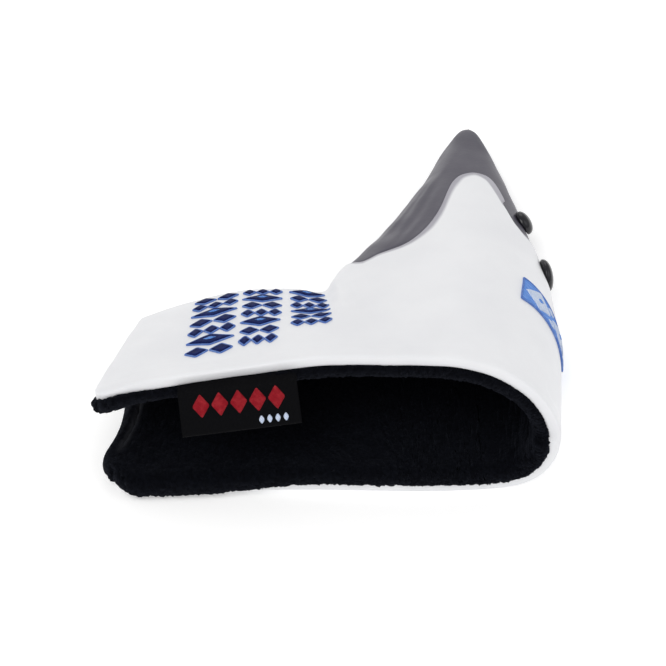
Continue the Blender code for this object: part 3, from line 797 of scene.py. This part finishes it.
ROUND_THE_FOLD = (
    (BACK, CUT_S, 0.83, 7),
    (BACK, 0.83, 0.93, 50),
    (BACK, 0.93, 1, 9),
    (FRONT, 1, 0.93, 9),
    (FRONT, 0.93, 0.83, 50),
    (FRONT, 0.83, 0.60, 26),
    (FRONT, 0.60, 0.50, 12),
    (FRONT, 0.50, 0.43, 18),
)
FRONT_OF_NECK = (FRONT, 0.43, 0.012, 60)
BACK_PANEL = ((BACK, CUT_S, 0.50, 24), (BACK, 0.50, 0.43, 18), (BACK, 0.43, 0.012, 50))
TOE_SPANS = ((BACK, 0.445, 0.50, 14), (BACK, 0.50, 1, 46), (FRONT, 1, 0.50, 46), (FRONT, 0.50, 0.445, 14))
LEATHER_SHEET = 0.0005


def finish_skin(name, mesh, material, thickness, flip, rounded=True):
    if flip:
        mesh.flip_normals()
    obj = link(name, mesh, [MATERIALS[material]])
    if rounded:
        smooth = obj.modifiers.new("smooth", "SUBSURF")
        smooth.levels = smooth.render_levels = 1
        smooth.boundary_smooth = "PRESERVE_CORNERS"
    solid = obj.modifiers.new("thickness", "SOLIDIFY")
    solid.thickness, solid.offset = thickness, -1
    return obj


def bend_with_neck(obj):
    """obj crosses the hinge of the neck's front wall; its transform is baked into its mesh."""
    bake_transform(obj)


def white_skin(name, spans, flip):
    sides, s = stations(*spans)
    sides, s, ends = with_neck_end(sides, s, profile(TURNED_HEM), 0.0)

    def lean(s, tau):
        edge_s, edge_tau = white_edge(s)
        return (edge_s - s)[:, None] * np.exp(-np.maximum(tau - edge_tau[:, None], 0) / NOTCH_LEAN)

    def dips(sides, s, tau, _):
        return relief(sides, np.maximum(s, 0.004), tau)

    points, _, s_, tau = skin_points(sides, s, ends, leather_rows, True, dips, lean)
    mesh = grid_mesh(name, points)
    head = smoothstep(0.43, 0.47, s_[:, 0])[:, None]
    # A painted shade on the band along the white leather's cut edge, on the head only.
    painted_edge_shade = np.zeros(tau.shape)
    painted_edge_shade[:, : len(CUT_EDGE)] = np.array(CUT_EDGE_SHADE) * head
    add_value(mesh, "edge", painted_edge_shade)
    return finish_skin(name, mesh, "white_leather", LEATHER_SHEET, flip)


def toe_skin():
    sides, s = stations(*TOE_SPANS)
    tau, setback, inset = toe_rows(sides, s)
    sides, s = (np.broadcast_to(a[:, None], tau.shape) for a in (sides, s))
    points = on_sides(sides, s, tau, inset + relief(sides, s, tau) + toe_creases(sides, s, tau), setback)
    from_tip = np.linalg.norm(points - wall_points(FRONT, 1.0, 0.0), axis=-1)[..., None]
    drawn = TIP_BLUNTED * np.exp(-((from_tip / TIP_ROUNDING) ** 2))
    drawn = drawn - TIP_LONGER * np.exp(-((from_tip / TIP_SPREAD) ** 2))
    points = points + np.array((*TIP_AXIS, 0.0)) * drawn
    mesh = grid_mesh("toe_leather_skin", points)
    add_value(mesh, "edge", np.zeros(tau.shape))
    return finish_skin("toe_leather_skin", mesh, "grey_leather", LEATHER_SHEET, False)


def build_leather():
    front = white_skin("white_leather_front", (*ROUND_THE_FOLD, FRONT_OF_NECK), False)
    bend_with_neck(front)
    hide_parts("neck_front_leather")
    back = white_skin("white_leather_back", BACK_PANEL, True)
    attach(back, "sleeve")
    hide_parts("outer_leather")
    toe = toe_skin()
    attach(toe, "sleeve")
    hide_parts("toe_leather")


CREASE_S, CREASE_WIDTH, CREASE_DEPTH = 0.66, 0.07, 0.16 * MM


def toe_creases(sides, s, tau):
    """Short soft creases in the grey leather where the brow's line turns."""
    where = on_sides(sides, s, tau)
    fade = smoothstep(0.10, 0.30, tau)
    ripple = np.sin(tau * 95 + s * 40 + 1.5 * waves(where, 0.02, 11))
    near = np.exp(-(((s - CREASE_S) / CREASE_WIDTH) ** 2))
    return CREASE_DEPTH * ripple * near * fade


# ---------------------------------------------------------------- padding and lining


PADDING_INSET, PADDING_SETBACK, PADDING_SHEET = 2.1 * MM, 3.8 * MM, 0.0012


def build_padding():
    """The foam between leather and lining, which is hidden unless the sleeve is cut."""
    for name, spans, node in (
        ("padding_front", ((BACK, CUT_S, 1, 10), (FRONT, 1, 0.045, 44)), "neck_front_foam"),
        ("padding_back", ((BACK, CUT_S, 0.045, 34),), "body_foam"),
    ):
        sides, s = stations(*spans)
        tau = np.broadcast_to(np.r_[0.06, 0.11, 0.165, 0.22, np.linspace(0.3, 1, 22)], (len(s), 26))
        mesh = grid_mesh(name, on_sides(sides[:, None], s[:, None], tau, PADDING_INSET, PADDING_SETBACK))
        padding = finish_skin(name, mesh, "foam", PADDING_SHEET, name == "padding_back", False)
        if name == "padding_front":
            bend_with_neck(padding)
        else:
            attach(padding, "sleeve")
        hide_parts(node)


# The pile's edge at the mouth, as profiles. A distance less than 0 hangs over the edge line. It is tucked
# behind the hem on the front panel, flush with it round the fold, and hangs over it under the neck.
PILE_TUCKED = (
    *((5.0, 4.4), (1.2, 4.25), (0.35, 4.4), (-0.05, 4.9)),
    *((-0.10, 5.7), (0.3, 6.5), (1.2, 7.0), (2.6, 6.9)),
)
PILE_FLUSH = ((5.0, 4.6), (1.6, 4.4), (0.8, 4.0), (0.35, 3.5), (0.2, 4.0), (0.2, 4.8), (0.5, 6.0), (1.4, 6.7))
PILE_HANGING = (
    *((5.0, 4.4), (0.6, 4.0), (-0.4, 2.8), (-1.2, 1.7)),
    *((-1.7, 2.3), (-1.8, 3.8), (-1.3, 5.4), (0.6, 6.5)),
)
PILE_INSET, PILE_DEEPEST, PLUSH_SHEET = 6.2 * MM, 9 * MM, 0.8 * MM
PILE_FUZZ = 0.15 * MM
# The lining's fold beside the neck end: how far it rises, its place and half width in s, and its slant.
FOLD_RISE, FOLD_S, FOLD_WIDTH, FOLD_SLANT = 0.9 * MM, 0.0125, 0.0045, 0.010


def pile_rows(sides, s):
    """Rows of the lining, from its hidden end at the mouth, over its rolled edge, down to the closed seam."""
    back = sides == BACK
    under_neck = smoothstep(0.30, 0.12, s) * (0.45 + 0.55 * smoothstep(0.0, 0.07, s))
    hanging = np.where(back, under_neck, 0.6 * smoothstep(0.10, 0.03, s))
    flush = np.where(back, 1 - hanging, smoothstep(0.86, 1.0, s))
    shares = (1 - hanging - flush, flush, hanging)
    kinds = (profile(kind, 26) for kind in (PILE_TUCKED, PILE_FLUSH, PILE_HANGING))
    edge = sum(share[:, None, None] * kind for share, kind in zip(shares, kinds))
    tufts = np.random.default_rng(37).normal(size=edge.shape[:2]).clip(-2, 2)
    setback = edge[..., 0] + PILE_FUZZ * tufts * smoothstep(3.0 * MM, 1.0 * MM, edge[..., 0])
    inset = edge[..., 1]
    steps = np.linspace(0, 1, PILE_ROWS + 1)[1:]
    tau = np.hstack([np.ones_like(setback), np.broadcast_to(1 - 0.975 * steps, (len(s), PILE_ROWS))])
    setback = np.hstack([setback, setback[:, -1:] * (1 - steps)])
    inset = np.hstack([inset, inset[:, -1:] + (PILE_INSET - inset[:, -1:]) * smoothstep(0, 0.12, steps)])
    return tau, setback, inset


# The same at the neck end, of the front panel and of the back one.
PILE_NECK_TOP = ((0.4, 6.2), (-0.4, 5.4), (-0.7, 4.7), (-0.3, 4.2), (0.4, 4.1), (1.2, 4.2), (5.0, 4.4))
PILE_NECK_UNDER = (
    *((0.6, 6.4), (-0.6, 5.6), (-1.0, 4.2), (-0.9, 2.9)),
    *((-0.3, 2.4), (0.5, 3.4), (1.4, 4.1), (5.0, 4.4)),
)


def inset_offset(setback):
    """Keeps the tufts of neighbouring rows round the edge apart."""
    return setback[..., None] * np.array([0.3, 1.0, 1.7])


TUFT_HEIGHT, TUFT_LENGTH = 0.15 * MM, 0.0013
CLUMP_HEIGHT, CLUMP_LENGTH = 0.10 * MM, 0.005
FUZZ_HEIGHT = 0.13 * MM
# The slack of the front panel's lining, how much it varies, both in millimetres, and over what length.
SLACK, SLACK_VARIES, SLACK_LENGTH = 1.7, 1.3, 0.030


def pile_relief(sides, s, tau, setback):
    """The pile's tufts, and the slack of the lining, as an inset."""
    where = on_sides(sides, s, tau)
    tufts = TUFT_HEIGHT * waves(where + inset_offset(setback), TUFT_LENGTH, 21, 20)
    fuzz = FUZZ_HEIGHT * np.random.default_rng(31).normal(size=tau.shape).clip(-2, 2)
    clumps = CLUMP_HEIGHT * waves(where, CLUMP_LENGTH, 23)
    top = np.asarray(sides) == FRONT
    inside = smoothstep(0.985, 0.90, tau)
    slack = (SLACK + SLACK_VARIES * waves(where, SLACK_LENGTH, 29)) * MM
    hang = slack * inside * smoothstep(0.25, 0.6, tau) * top
    return -tufts + fuzz + clumps + hang * smoothstep(0.98, 0.80, s) - FOLD_RISE * neck_fold(sides, s, tau)


def neck_fold(sides, s, tau):
    """A soft fold of the lining, beside the neck end of the back panel: 1 on its crest. It also masks the
    lining's painted highlight.
    """
    across = np.exp(-(((s - FOLD_S - FOLD_SLANT * (0.86 - tau)) / FOLD_WIDTH) ** 2))
    return across * smoothstep(0.40, 0.55, tau) * smoothstep(0.90, 0.78, tau) * (np.asarray(sides) == BACK)


FRONT_LINING = ((BACK, CUT_S, 1, 70), (FRONT, 1, 0.5, 150), (FRONT, 0.5, 0.01, 190))
BACK_LINING = ((BACK, CUT_S, 0.01, 310),)


def build_lining():
    for name, spans, rim, node in (
        ("plush_front", FRONT_LINING, PILE_NECK_TOP, "neck_front_lining"),
        ("plush_back", BACK_LINING, PILE_NECK_UNDER, "body_lining"),
    ):
        sides, s = stations(*spans)
        sides, s, ends = with_neck_end(sides, s, profile(rim, 18), PILE_DEEPEST)
        points, *places = skin_points(sides, s, ends, pile_rows, False, pile_relief)
        mesh = grid_mesh(name, points)
        # The fold's crest masks the plush's painted highlight.
        add_value(mesh, "fold", neck_fold(*places))
        lining = finish_skin(name, mesh, "plush", PLUSH_SHEET, name == "plush_front", False)
        if name == "plush_front":
            bend_with_neck(lining)
        else:
            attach(lining, "sleeve")
        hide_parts(node)


# ---------------------------------------------------------------- embroidery, patch, label and beads


def on_leather(sides, s, tau, height=0.0):
    """Places at a height above the padded leather."""
    return on_sides(sides, s, tau, relief(sides, s, tau) - height)


FILL_STEP, CORD_STEP = 0.0005, 0.0004
CORNER_ROUNDING = 0.00035
HIDDEN_DEPTH = 0.0004  # how far a fill goes down into the leather


def resampled(path, step):
    """A closed outline with slightly rounded corners, in points about step apart, and its length."""
    p = np.asarray(path, float)
    corners = []
    for before, here, after in zip(np.roll(p, 1, axis=0), p, np.roll(p, -1, axis=0)):
        arms = [before - here, after - here]
        reach = [min(CORNER_ROUNDING / np.linalg.norm(arm), 0.4) * arm for arm in arms]
        corners += [here + reach[0], here + (reach[0] + reach[1]) / 4, here + reach[1]]
    loop = np.vstack([corners, corners[:1]])
    lengths = np.r_[0, np.cumsum(np.linalg.norm(np.diff(loop, axis=0), axis=1))]
    at = np.linspace(0, lengths[-1], max(12, int(lengths[-1] / step)), endpoint=False)
    return np.column_stack([np.interp(at, lengths, loop[:, k]) for k in (0, 1)]), lengths[-1]


def distance_to(path, points):
    start, end = path, np.roll(path, -1, axis=0)
    along = end - start
    share = ((points[:, None] - start) * along).sum(-1) / np.maximum((along**2).sum(-1), 1e-12)
    nearest = start + np.clip(share, 0, 1)[..., None] * along
    return np.linalg.norm(points[:, None] - nearest, axis=-1).min(axis=1)


def is_inside(path, points):
    start, end = path, np.roll(path, -1, axis=0)
    x, y = points[:, :1], points[:, 1:]
    spans = (start[:, 1] > y) != (end[:, 1] > y)
    rise = np.where(end[:, 1] == start[:, 1], 1e-12, end[:, 1] - start[:, 1])
    crossing = start[:, 0] + (y - start[:, 1]) * (end[:, 0] - start[:, 0]) / rise
    return ((x < crossing) & spans).sum(axis=1) % 2 == 1


def satin_fill(outline, height, shoulder, base=0.0):
    """A raised patch of stitching with rounded shoulders. Returns points (x, y, height), faces and UVs."""
    step = FILL_STEP
    edge, _ = resampled(outline, step)
    low, high = edge.min(axis=0), edge.max(axis=0)
    grid = np.stack(np.meshgrid(*(np.arange(a, b, step) for a, b in zip(low, high))), axis=-1).reshape(-1, 2)
    grid = grid[is_inside(edge, grid)]
    if len(grid):
        grid = grid[distance_to(edge, grid) > 0.45 * step]
    points = [Vector(p) for p in np.vstack([edge, grid])]
    result = delaunay_2d_cdt(points, [], [list(range(len(edge)))], 1, 1e-7)
    flat, top_faces = np.array([tuple(v) for v in result[0]]), [list(f) for f in result[2]]
    depth = np.clip(distance_to(edge, flat) / shoulder, 0, 1)
    top = base + height * np.sqrt(1 - (1 - depth) ** 2)
    count = len(flat)
    sides = {}
    for face in top_faces:
        for a, b in zip(face, face[1:] + face[:1]):
            sides[(a, b)] = sides.get((a, b), 0) + 1
    border = [(a, b) for a, b in sides if (b, a) not in sides]
    faces = top_faces + [[count + i for i in reversed(face)] for face in top_faces]
    faces += [[b, a, count + a, count + b] for a, b in border]
    points = np.vstack([np.column_stack([flat, top]), np.column_stack([flat, np.full(count, -HIDDEN_DEPTH)])])
    return points, faces, np.vstack([flat, flat])


def satin_cord(outline, radius, lift):
    """A closed cord of stitching along an outline, as satin_fill() gives it."""
    path, length = resampled(outline, CORD_STEP)
    along = unit(np.roll(path, -1, axis=0) - np.roll(path, 1, axis=0))
    normal = np.column_stack([along[:, 1], -along[:, 0]])
    angles = np.arange(8) * 2 * pi / 8
    xy = path[:, None] + normal[:, None] * (radius * np.cos(angles))[:, None]
    z = np.broadcast_to(lift + radius * np.sin(angles), xy.shape[:2])
    points = np.concatenate([xy, z[..., None]], axis=-1).reshape(-1, 3)
    index = np.arange(len(points)).reshape(-1, 8)
    ahead, side = np.roll(index, -1, axis=0), np.roll(index, -1, axis=1)
    faces = np.stack([index, side, np.roll(side, -1, axis=0), ahead], axis=-1).reshape(-1, 4).tolist()
    where = np.arange(len(path)) * length / len(path)
    uv = np.stack(np.broadcast_arrays(where[:, None], angles * radius), axis=-1).reshape(-1, 2)
    return points, faces, uv


def sewn(name, parts, place, materials):
    """One object from parts (points, faces, uv, material number). place(points) puts them in space."""
    mesh = bpy.data.meshes.new(name)
    points = np.vstack([part[0] for part in parts])
    faces, numbers, start = [], [], 0
    for part in parts:
        faces += [[start + i for i in face] for face in part[1]]
        numbers += [part[3]] * len(part[1])
        start += len(part[0])
    mesh.from_pydata(place(points).tolist(), [], faces)
    mesh.polygons.foreach_set("material_index", numbers)
    uv = np.vstack([part[2] for part in parts])
    corners = np.empty(len(mesh.loops), int)
    mesh.loops.foreach_get("vertex_index", corners)
    mesh.uv_layers.new(name="UVMap").data.foreach_set("uv", uv[corners].astype(np.float32).ravel())
    bm = bmesh.new()
    bm.from_mesh(mesh)
    bmesh.ops.recalc_face_normals(bm, faces=bm.faces)
    bm.to_mesh(mesh)
    bm.free()
    mesh.shade_smooth()
    return link(name, mesh, [MATERIALS[m] for m in materials])


def band_map(point_at):
    """For a band of the surface given by point_at(along, across), both from 0 to 1: its length, its mean
    width, and a function from metres from its middle to (along, across)."""
    t = np.linspace(0, 1, 60)
    middle = point_at(t, np.full_like(t, 0.5))
    lengths = np.r_[0, np.cumsum(np.linalg.norm(np.diff(middle, axis=0), axis=1))]
    width = np.linalg.norm(point_at(t, np.ones_like(t)) - point_at(t, np.zeros_like(t)), axis=1).mean()

    def to_band(x, y):
        return np.interp(x + lengths[-1] / 2, lengths, t), 0.5 + y / width

    return lengths[-1], width, to_band


def diamond(x, y, half_x, half_y):
    return [(x - half_x, y), (x, y - half_y), (x + half_x, y), (x, y + half_y)]


def argyle_motifs(kind, x, half_x, half_y):
    """The outlines of one motif of a row: one, two or three diamonds. x runs along the row."""
    if kind == 0:
        return [diamond(x, 0, half_x, half_y)]
    share = half_y / (kind + 1)
    return [diamond(x, (2 * k - kind) * share, half_x * 0.94, share * 0.95) for k in range(kind + 1)]


MOTIF_PITCH, MOTIF_SHARE, MOTIF_MARGIN, CENTRE_SHARE = 0.0058, 0.47, 0.0002, 0.4
# Stitching. A fill has a height, the width of its rounded shoulder, and a lift. A cord has a radius and a
# lift. First those of the rows' motifs, then those of the blue patch.
MOTIF_FILL, MOTIF_CORD, CENTRE_FILL = (0.00055, 0.0009, 0.0001), (0.00030, 0.0001), (0.0009, 0.0008)
GROUND_FILL, GROUND_CORD = (0.00035, 0.0006, 0.00005), (0.00038, 0.0002)
CHAIN_FILL, HEART_FILL = (0.0005, 0.0007, 0.00025), (0.0008, 0.0006, 0.0002)
DOT_FILL = (0.0004, 0.0005, 0.0003)
CHAIN_STRETCH, CHAIN_MARGIN = 1.30, 0.0012  # a diamond's length over its width, and what is left at the ends


def filled(outline, fill, material):
    return (*satin_fill(outline, *fill), material)


def corded(outline, cord, material):
    return (*satin_cord(outline, *cord), material)


def build_embroidery():
    """Three rows of argyle motifs in satin stitch, each motif with a corded edge."""
    for number, (far_a, far_b, near_a, near_b, last) in enumerate(ROWS, start=1):

        def place_in_row(v, u):
            left, right = far_a + (near_a - far_a) * v, far_b + (near_b - far_b) * v
            return left + (right - left) * u, ROW_FIRST_TAU + (last - ROW_FIRST_TAU) * v

        length, width, to_band = band_map(lambda v, u: on_leather(FRONT, *place_in_row(v, u)))

        def place(points):
            s, tau = place_in_row(*to_band(points[:, 0], points[:, 1]))
            return on_leather(FRONT, s, tau, points[:, 2])

        count = int(length / MOTIF_PITCH)
        pitch = length / count
        half_x, half_y = pitch * MOTIF_SHARE, width / 2 - MOTIF_MARGIN
        parts = []
        for k in range(count):
            x = (k + 0.5) * pitch - length / 2
            for outline in argyle_motifs((k + number) % 3, x, half_x, half_y):
                parts += [filled(outline, MOTIF_FILL, 0), corded(outline, MOTIF_CORD, 1)]
            if (k + number) % 3 == 0:
                centre = diamond(x, 0, half_x * CENTRE_SHARE, half_y * CENTRE_SHARE)
                parts.append(filled(centre, CENTRE_FILL, 2))
        row = sewn(f"argyle_row_{number}", parts, place, ("navy_thread", "edge_thread", "blue_thread"))
        bend_with_neck(row)
        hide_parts(f"embroidery_row_{number}")


def build_ridge_patch():
    """The blue patch that crosses the ridge: a stitched ground with a corded edge and a chain of diamonds."""

    def place_in_band(u, v):
        turn = (2 * u - 1) * (BAND_TURN[0] + (BAND_TURN[1] - BAND_TURN[0]) * v)
        toe_edge, mouth_edge = (tau - slope * abs(turn) for tau, slope in zip(BAND_TAU, BAND_SLOPE))
        return *fold_stations(turn), toe_edge + (mouth_edge - toe_edge) * v

    length, width, to_band = band_map(lambda u, v: on_leather(*place_in_band(u, v)))

    def place(points):
        return on_leather(*place_in_band(*to_band(points[:, 0], points[:, 1])), points[:, 2])

    x, y = length / 2, width / 2
    outline = [(end * k * x / 8, -end * y) for end in (1, -1) for k in range(-8, 9)]
    parts = [filled(outline, GROUND_FILL, 0), corded(outline, GROUND_CORD, 1)]
    count = round(length / (width * CHAIN_STRETCH))
    pitch = (length - CHAIN_MARGIN) / count
    for k in range(count):
        centre = (k - (count - 1) / 2) * pitch
        parts.append(filled(diamond(centre, 0, pitch * 0.49, y * 0.92), CHAIN_FILL, 2))
        parts.append(filled(diamond(centre, 0, pitch * 0.15, y * 0.27), HEART_FILL, 0))
    for k in range(count - 1):
        centre = (k - (count - 2) / 2) * pitch
        for end in (-1, 1):
            parts.append(filled(diamond(centre, end * y * 0.60, pitch * 0.20, y * 0.25), DOT_FILL, 2))
    patch = sewn("diamond_patch", parts, place, ("blue_thread", "edge_thread", "white_thread"))
    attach(patch, "sleeve")
    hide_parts("ridge_patch")


def bead_place(turn, tau):
    """Where a bead sits on the leather, the way out of the leather there, and a way along it."""
    sides, s = fold_stations(np.array([turn]))
    s = np.minimum(s, 0.999)
    tau = np.array([tau])
    here = on_leather(sides, s, tau)[0]
    toward_mouth = on_leather(sides, s, tau + 0.01)[0] - here
    across = on_leather(sides, s - 0.01, tau)[0] - here
    out = np.cross(toward_mouth, across)
    out = out / np.linalg.norm(out)
    deeper = on_sides(sides, s, tau, 0.002)[0]
    return here, out if out @ (here - deeper) >= 0 else -out, across


BEAD_SKIRT = 0.0005  # the height of the dome's lower edge
BEAD_LIP = ((0.995, 0.0003), (0.96, 0.00012), (0.88, 0.00003))  # below it: shares of the radius, and heights
BEAD_SIDES = 48


def bead_solid(radius, dome):
    """A dome on a post, turned about z: its points and faces."""
    arc = [(radius * np.sin(a), BEAD_SKIRT + dome * np.cos(a) ** 0.9) for a in np.linspace(0, pi / 2, 20)[1:]]
    lip = [(radius * share, height) for share, height in BEAD_LIP]
    post = [(POST_RADIUS * 1.8, 0.0), (POST_RADIUS, -0.0003), (POST_RADIUS, -POST_DEPTH)]
    outline = [*arc, *lip, *post]
    angles = np.arange(BEAD_SIDES) * 2 * pi / BEAD_SIDES
    rings = np.array([[(r * np.cos(a), r * np.sin(a), z) for r, z in outline] for a in angles])
    points = np.vstack([rings.reshape(-1, 3), [(0, 0, BEAD_SKIRT + dome), (0, 0, -POST_DEPTH)]])
    top, bottom = len(points) - 2, len(points) - 1
    index = np.arange(top).reshape(BEAD_SIDES, -1)
    ahead = np.roll(index, -1, axis=0)
    faces = np.stack([index[:, :-1], index[:, 1:], ahead[:, 1:], ahead[:, :-1]], axis=-1).reshape(-1, 4)
    faces = faces.tolist()
    faces += [[top, int(a), int(b)] for a, b in zip(index[:, 0], ahead[:, 0])]
    faces += [[bottom, int(b), int(a)] for a, b in zip(index[:, -1], ahead[:, -1])]
    return points, faces


def build_beads():
    """Domed beads, each on the post that holds it through the leather."""
    for name, turn, tau, radius, dome in BEADS:
        here, out, across = bead_place(turn, tau)
        here = here - BEAD_SEAT[name] * out
        z_axis = Vector(out)
        y_axis = z_axis.cross(Vector(across).normalized()).normalized()
        axes = np.array((y_axis.cross(z_axis), y_axis, z_axis))
        points, faces = bead_solid(radius, dome)
        bead = sewn(name + "_bead", [(points, faces, points[:, :2], 0)], lambda p: here + p @ axes, ("bead",))
        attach(bead, "sleeve")
        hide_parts(name)


# The label: half the gap between its layers, half its thickness, and how much of it the seam holds. Its sewn
# edge is tucked behind the hem, and its hanging part waves: (height, radians for each metre, phase).
LABEL_GAP, LABEL_SHEET, LABEL_HELD, LABEL_TUCK = 0.00042, 0.00016, 0.0024, 0.0027
LABEL_WAVES = ((0.00022, 330, 0.6), (0.0003, 120, 2.0))
LABEL_ROWS = (  # count, x of the middle, y, pitch, half width, half height, height of the fill, its shoulder
    (5, 0.0, 0.0048, 0.0049, 0.0023, 0.0032, 0.00022, 0.0005),
    (4, 0.0085, 0.0101, 0.0021, 0.0008, 0.0013, 0.00018, 0.0004),
)


def label_axes():
    """Half way along the sewn edge, the label's width, and the ways along it, down it and out of its face."""
    start, end = (np.array(p) + MOVE for p in LABEL_ENDS)
    across = end - start
    width = np.linalg.norm(across)
    across = across / width
    down = np.array(LABEL_SLOPE)
    down = unit(down - across * (down @ across))
    out = np.cross(across, down)
    return start + across * width / 2, width, across, down, out if out[1] < 0 else -out


def label_path():
    """The ribbon's path, as (distance down, distance out): down its face, round the fold, and up behind."""
    straight = np.linspace(-LABEL_HELD, LABEL_DROP - LABEL_GAP, 28)
    bend = np.linspace(0, pi, 9)[1:-1]
    path = [(y, LABEL_GAP) for y in straight]
    path += [(LABEL_DROP - LABEL_GAP + LABEL_GAP * np.sin(a), LABEL_GAP * np.cos(a)) for a in bend]
    return np.array(path + [(y, -LABEL_GAP) for y in straight[::-1]])


def ribbon(path, x):
    """A ribbon's points, faces and UVs, and its length. Its columns are at x, and its rows along path."""

    def spread(values):
        return np.broadcast_to(values, (len(x), len(path)))

    run = np.r_[0, np.cumsum(np.linalg.norm(np.diff(path, axis=0), axis=1))]
    normal = unit(np.gradient(path, axis=0))
    normal = np.column_stack([-normal[:, 1], normal[:, 0]])
    layers = []
    for offset in (LABEL_SHEET, -LABEL_SHEET):
        moved = path + normal * offset
        layer = np.stack([spread(x[:, None]), spread(moved[:, 0]), spread(moved[:, 1])], axis=-1)
        layers.append(layer.reshape(-1, 3))
    count = len(layers[0])
    index = np.arange(count).reshape(len(x), -1)
    quads = grid_faces(len(x), len(path))
    faces = quads.tolist() + (quads[:, ::-1] + count).tolist()
    for edge in (index[0], index[-1], index[:, 0], index[:, -1]):
        faces += [[int(a), int(b), int(b) + count, int(a) + count] for a, b in zip(edge[:-1], edge[1:])]
    uv = np.stack([spread(x[:, None]), spread(run)], axis=-1).reshape(-1, 2)
    return np.vstack(layers), faces, np.vstack([uv, uv]), float(run[-1])


def build_label():
    """A woven ribbon, folded at the bottom and sewn in the mouth seam by both its ends."""
    middle, width, across, down, out = label_axes()

    def place(points):
        """x runs along the seam from the label's middle, y down from its sewn edge, and z out of its face."""
        x, y = points[:, 0], points[:, 1]
        hang = smoothstep(0.0, 0.012, y)
        wave = sum(height * np.sin(x * turns + phase) * hang for height, turns, phase in LABEL_WAVES)
        height = points[:, 2] + wave - LABEL_TUCK * smoothstep(0.0022, -0.0016, y)
        return middle + np.outer(x, across) + np.outer(y, down) + np.outer(height, out)

    points, faces, uv, length = ribbon(label_path(), np.linspace(-width / 2, width / 2, 60))
    label = sewn("woven_ribbon_label", [(points, faces, uv, 0)], place, ("label",))
    motifs = []
    for material, (count, x, y, pitch, half_x, half_y, height, shoulder) in enumerate(LABEL_ROWS):
        for k in range(count):
            outline = diamond(x + (k - (count - 1) / 2) * pitch, y, half_x, half_y)
            motifs.append(raised(satin_fill(outline, height, shoulder), LABEL_GAP + LABEL_SHEET, material))
    diamonds = sewn("label_diamonds", motifs, place, ("red_thread", "white_thread"))
    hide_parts("woven_label")
    for piece in (label, diamonds):
        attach(piece, "label")


def raised(part, height, material):
    """A stitched part moved out onto a face at that height, with its hidden back just under the face."""
    points = part[0].copy()
    points[:, 2] = np.where(points[:, 2] < 0, height - 0.00012, height + points[:, 2])
    return points, part[1], part[2], material


# ---------------------------------------------------------------- stage, camera and light


# The camera, fitted to the photo's outline, in the surface's place before it was moved.
CAMERA_PLACE, CAMERA_LENS, CAMERA_SENSOR = (0.0, -0.36305, 0.42305), 112.2, 36.0
LAMPS = (  # name, place, size, power, colour
    ("key", (-0.5, -0.7, 1.3), 0.9, 7.2, (1.0, 0.995, 0.985)),
    ("fill", (0.9, -0.3, 0.8), 0.8, 1.5, (0.97, 0.98, 1.0)),
    ("back", (0.1, 1.1, 0.9), 0.9, 2.4, (1.0, 1.0, 1.0)),
)
LAMPS_AIM = (0, 0, 0.02)
WORLD_STRENGTH = 0.68
FLOOR_HALF = 4.0
FLOOR_GLOW = {"Specular_IOR_Level": 0.0, "Emission_Color": (1, 1, 1, 1), "Emission_Strength": 0.24}


def build_stage():
    """A white floor and room, the camera, and three lamps."""
    floor_mesh = bpy.data.meshes.new("floor")
    corners = [(x * FLOOR_HALF, y * FLOOR_HALF, 0) for x, y in ((-1, -1), (1, -1), (1, 1), (-1, 1))]
    floor_mesh.from_pydata(corners, [], [(0, 1, 2, 3)])
    floor, *_ = node_material("floor", (0.96, 0.96, 0.96), 0.9, **FLOOR_GLOW)
    link("floor", floor_mesh, [floor])

    camera_data = bpy.data.cameras.new("camera")
    camera_data.lens, camera_data.sensor_width = CAMERA_LENS, CAMERA_SENSOR
    camera_data.clip_start, camera_data.clip_end = 0.01, 20.0
    camera = add_object("camera", camera_data)
    camera.location = Vector(CAMERA_PLACE) + Vector(MOVE)
    camera.rotation_euler = (pi / 4, 0, 0)
    bpy.context.scene.camera = camera

    world = bpy.data.worlds.new("studio")
    bpy.context.scene.world = world
    world.use_nodes = True
    background = world.node_tree.nodes["Background"]
    background.inputs["Color"].default_value = (1.0, 1.0, 1.0, 1)
    background.inputs["Strength"].default_value = WORLD_STRENGTH
    for name, place, size, power, colour in LAMPS:
        data = bpy.data.lights.new(name, "AREA")
        data.size, data.energy, data.color = size, power, colour
        lamp = add_object(name, data)
        lamp.location = place
        lamp.rotation_euler = (Vector(LAMPS_AIM) - Vector(place)).to_track_quat("-Z", "Y").to_euler()
    bpy.context.scene.view_settings.view_transform = "Standard"


def dress_kept_nodes():
    """The model's own nodes that stay shown get the finished materials."""
    slots = {row["node"]: row["material_slot"] for row in frame["record"]["subparts"]}
    for name, obj in frame["nodes"].items():
        if not obj.hide_render:
            obj.data.materials.clear()
            obj.data.materials.append(MATERIALS[slots[name]])
            obj.data.shade_smooth()


build_stage()
build_leather()
build_padding()
build_lining()
build_embroidery()
build_ridge_patch()
build_beads()
build_label()
dress_kept_nodes()
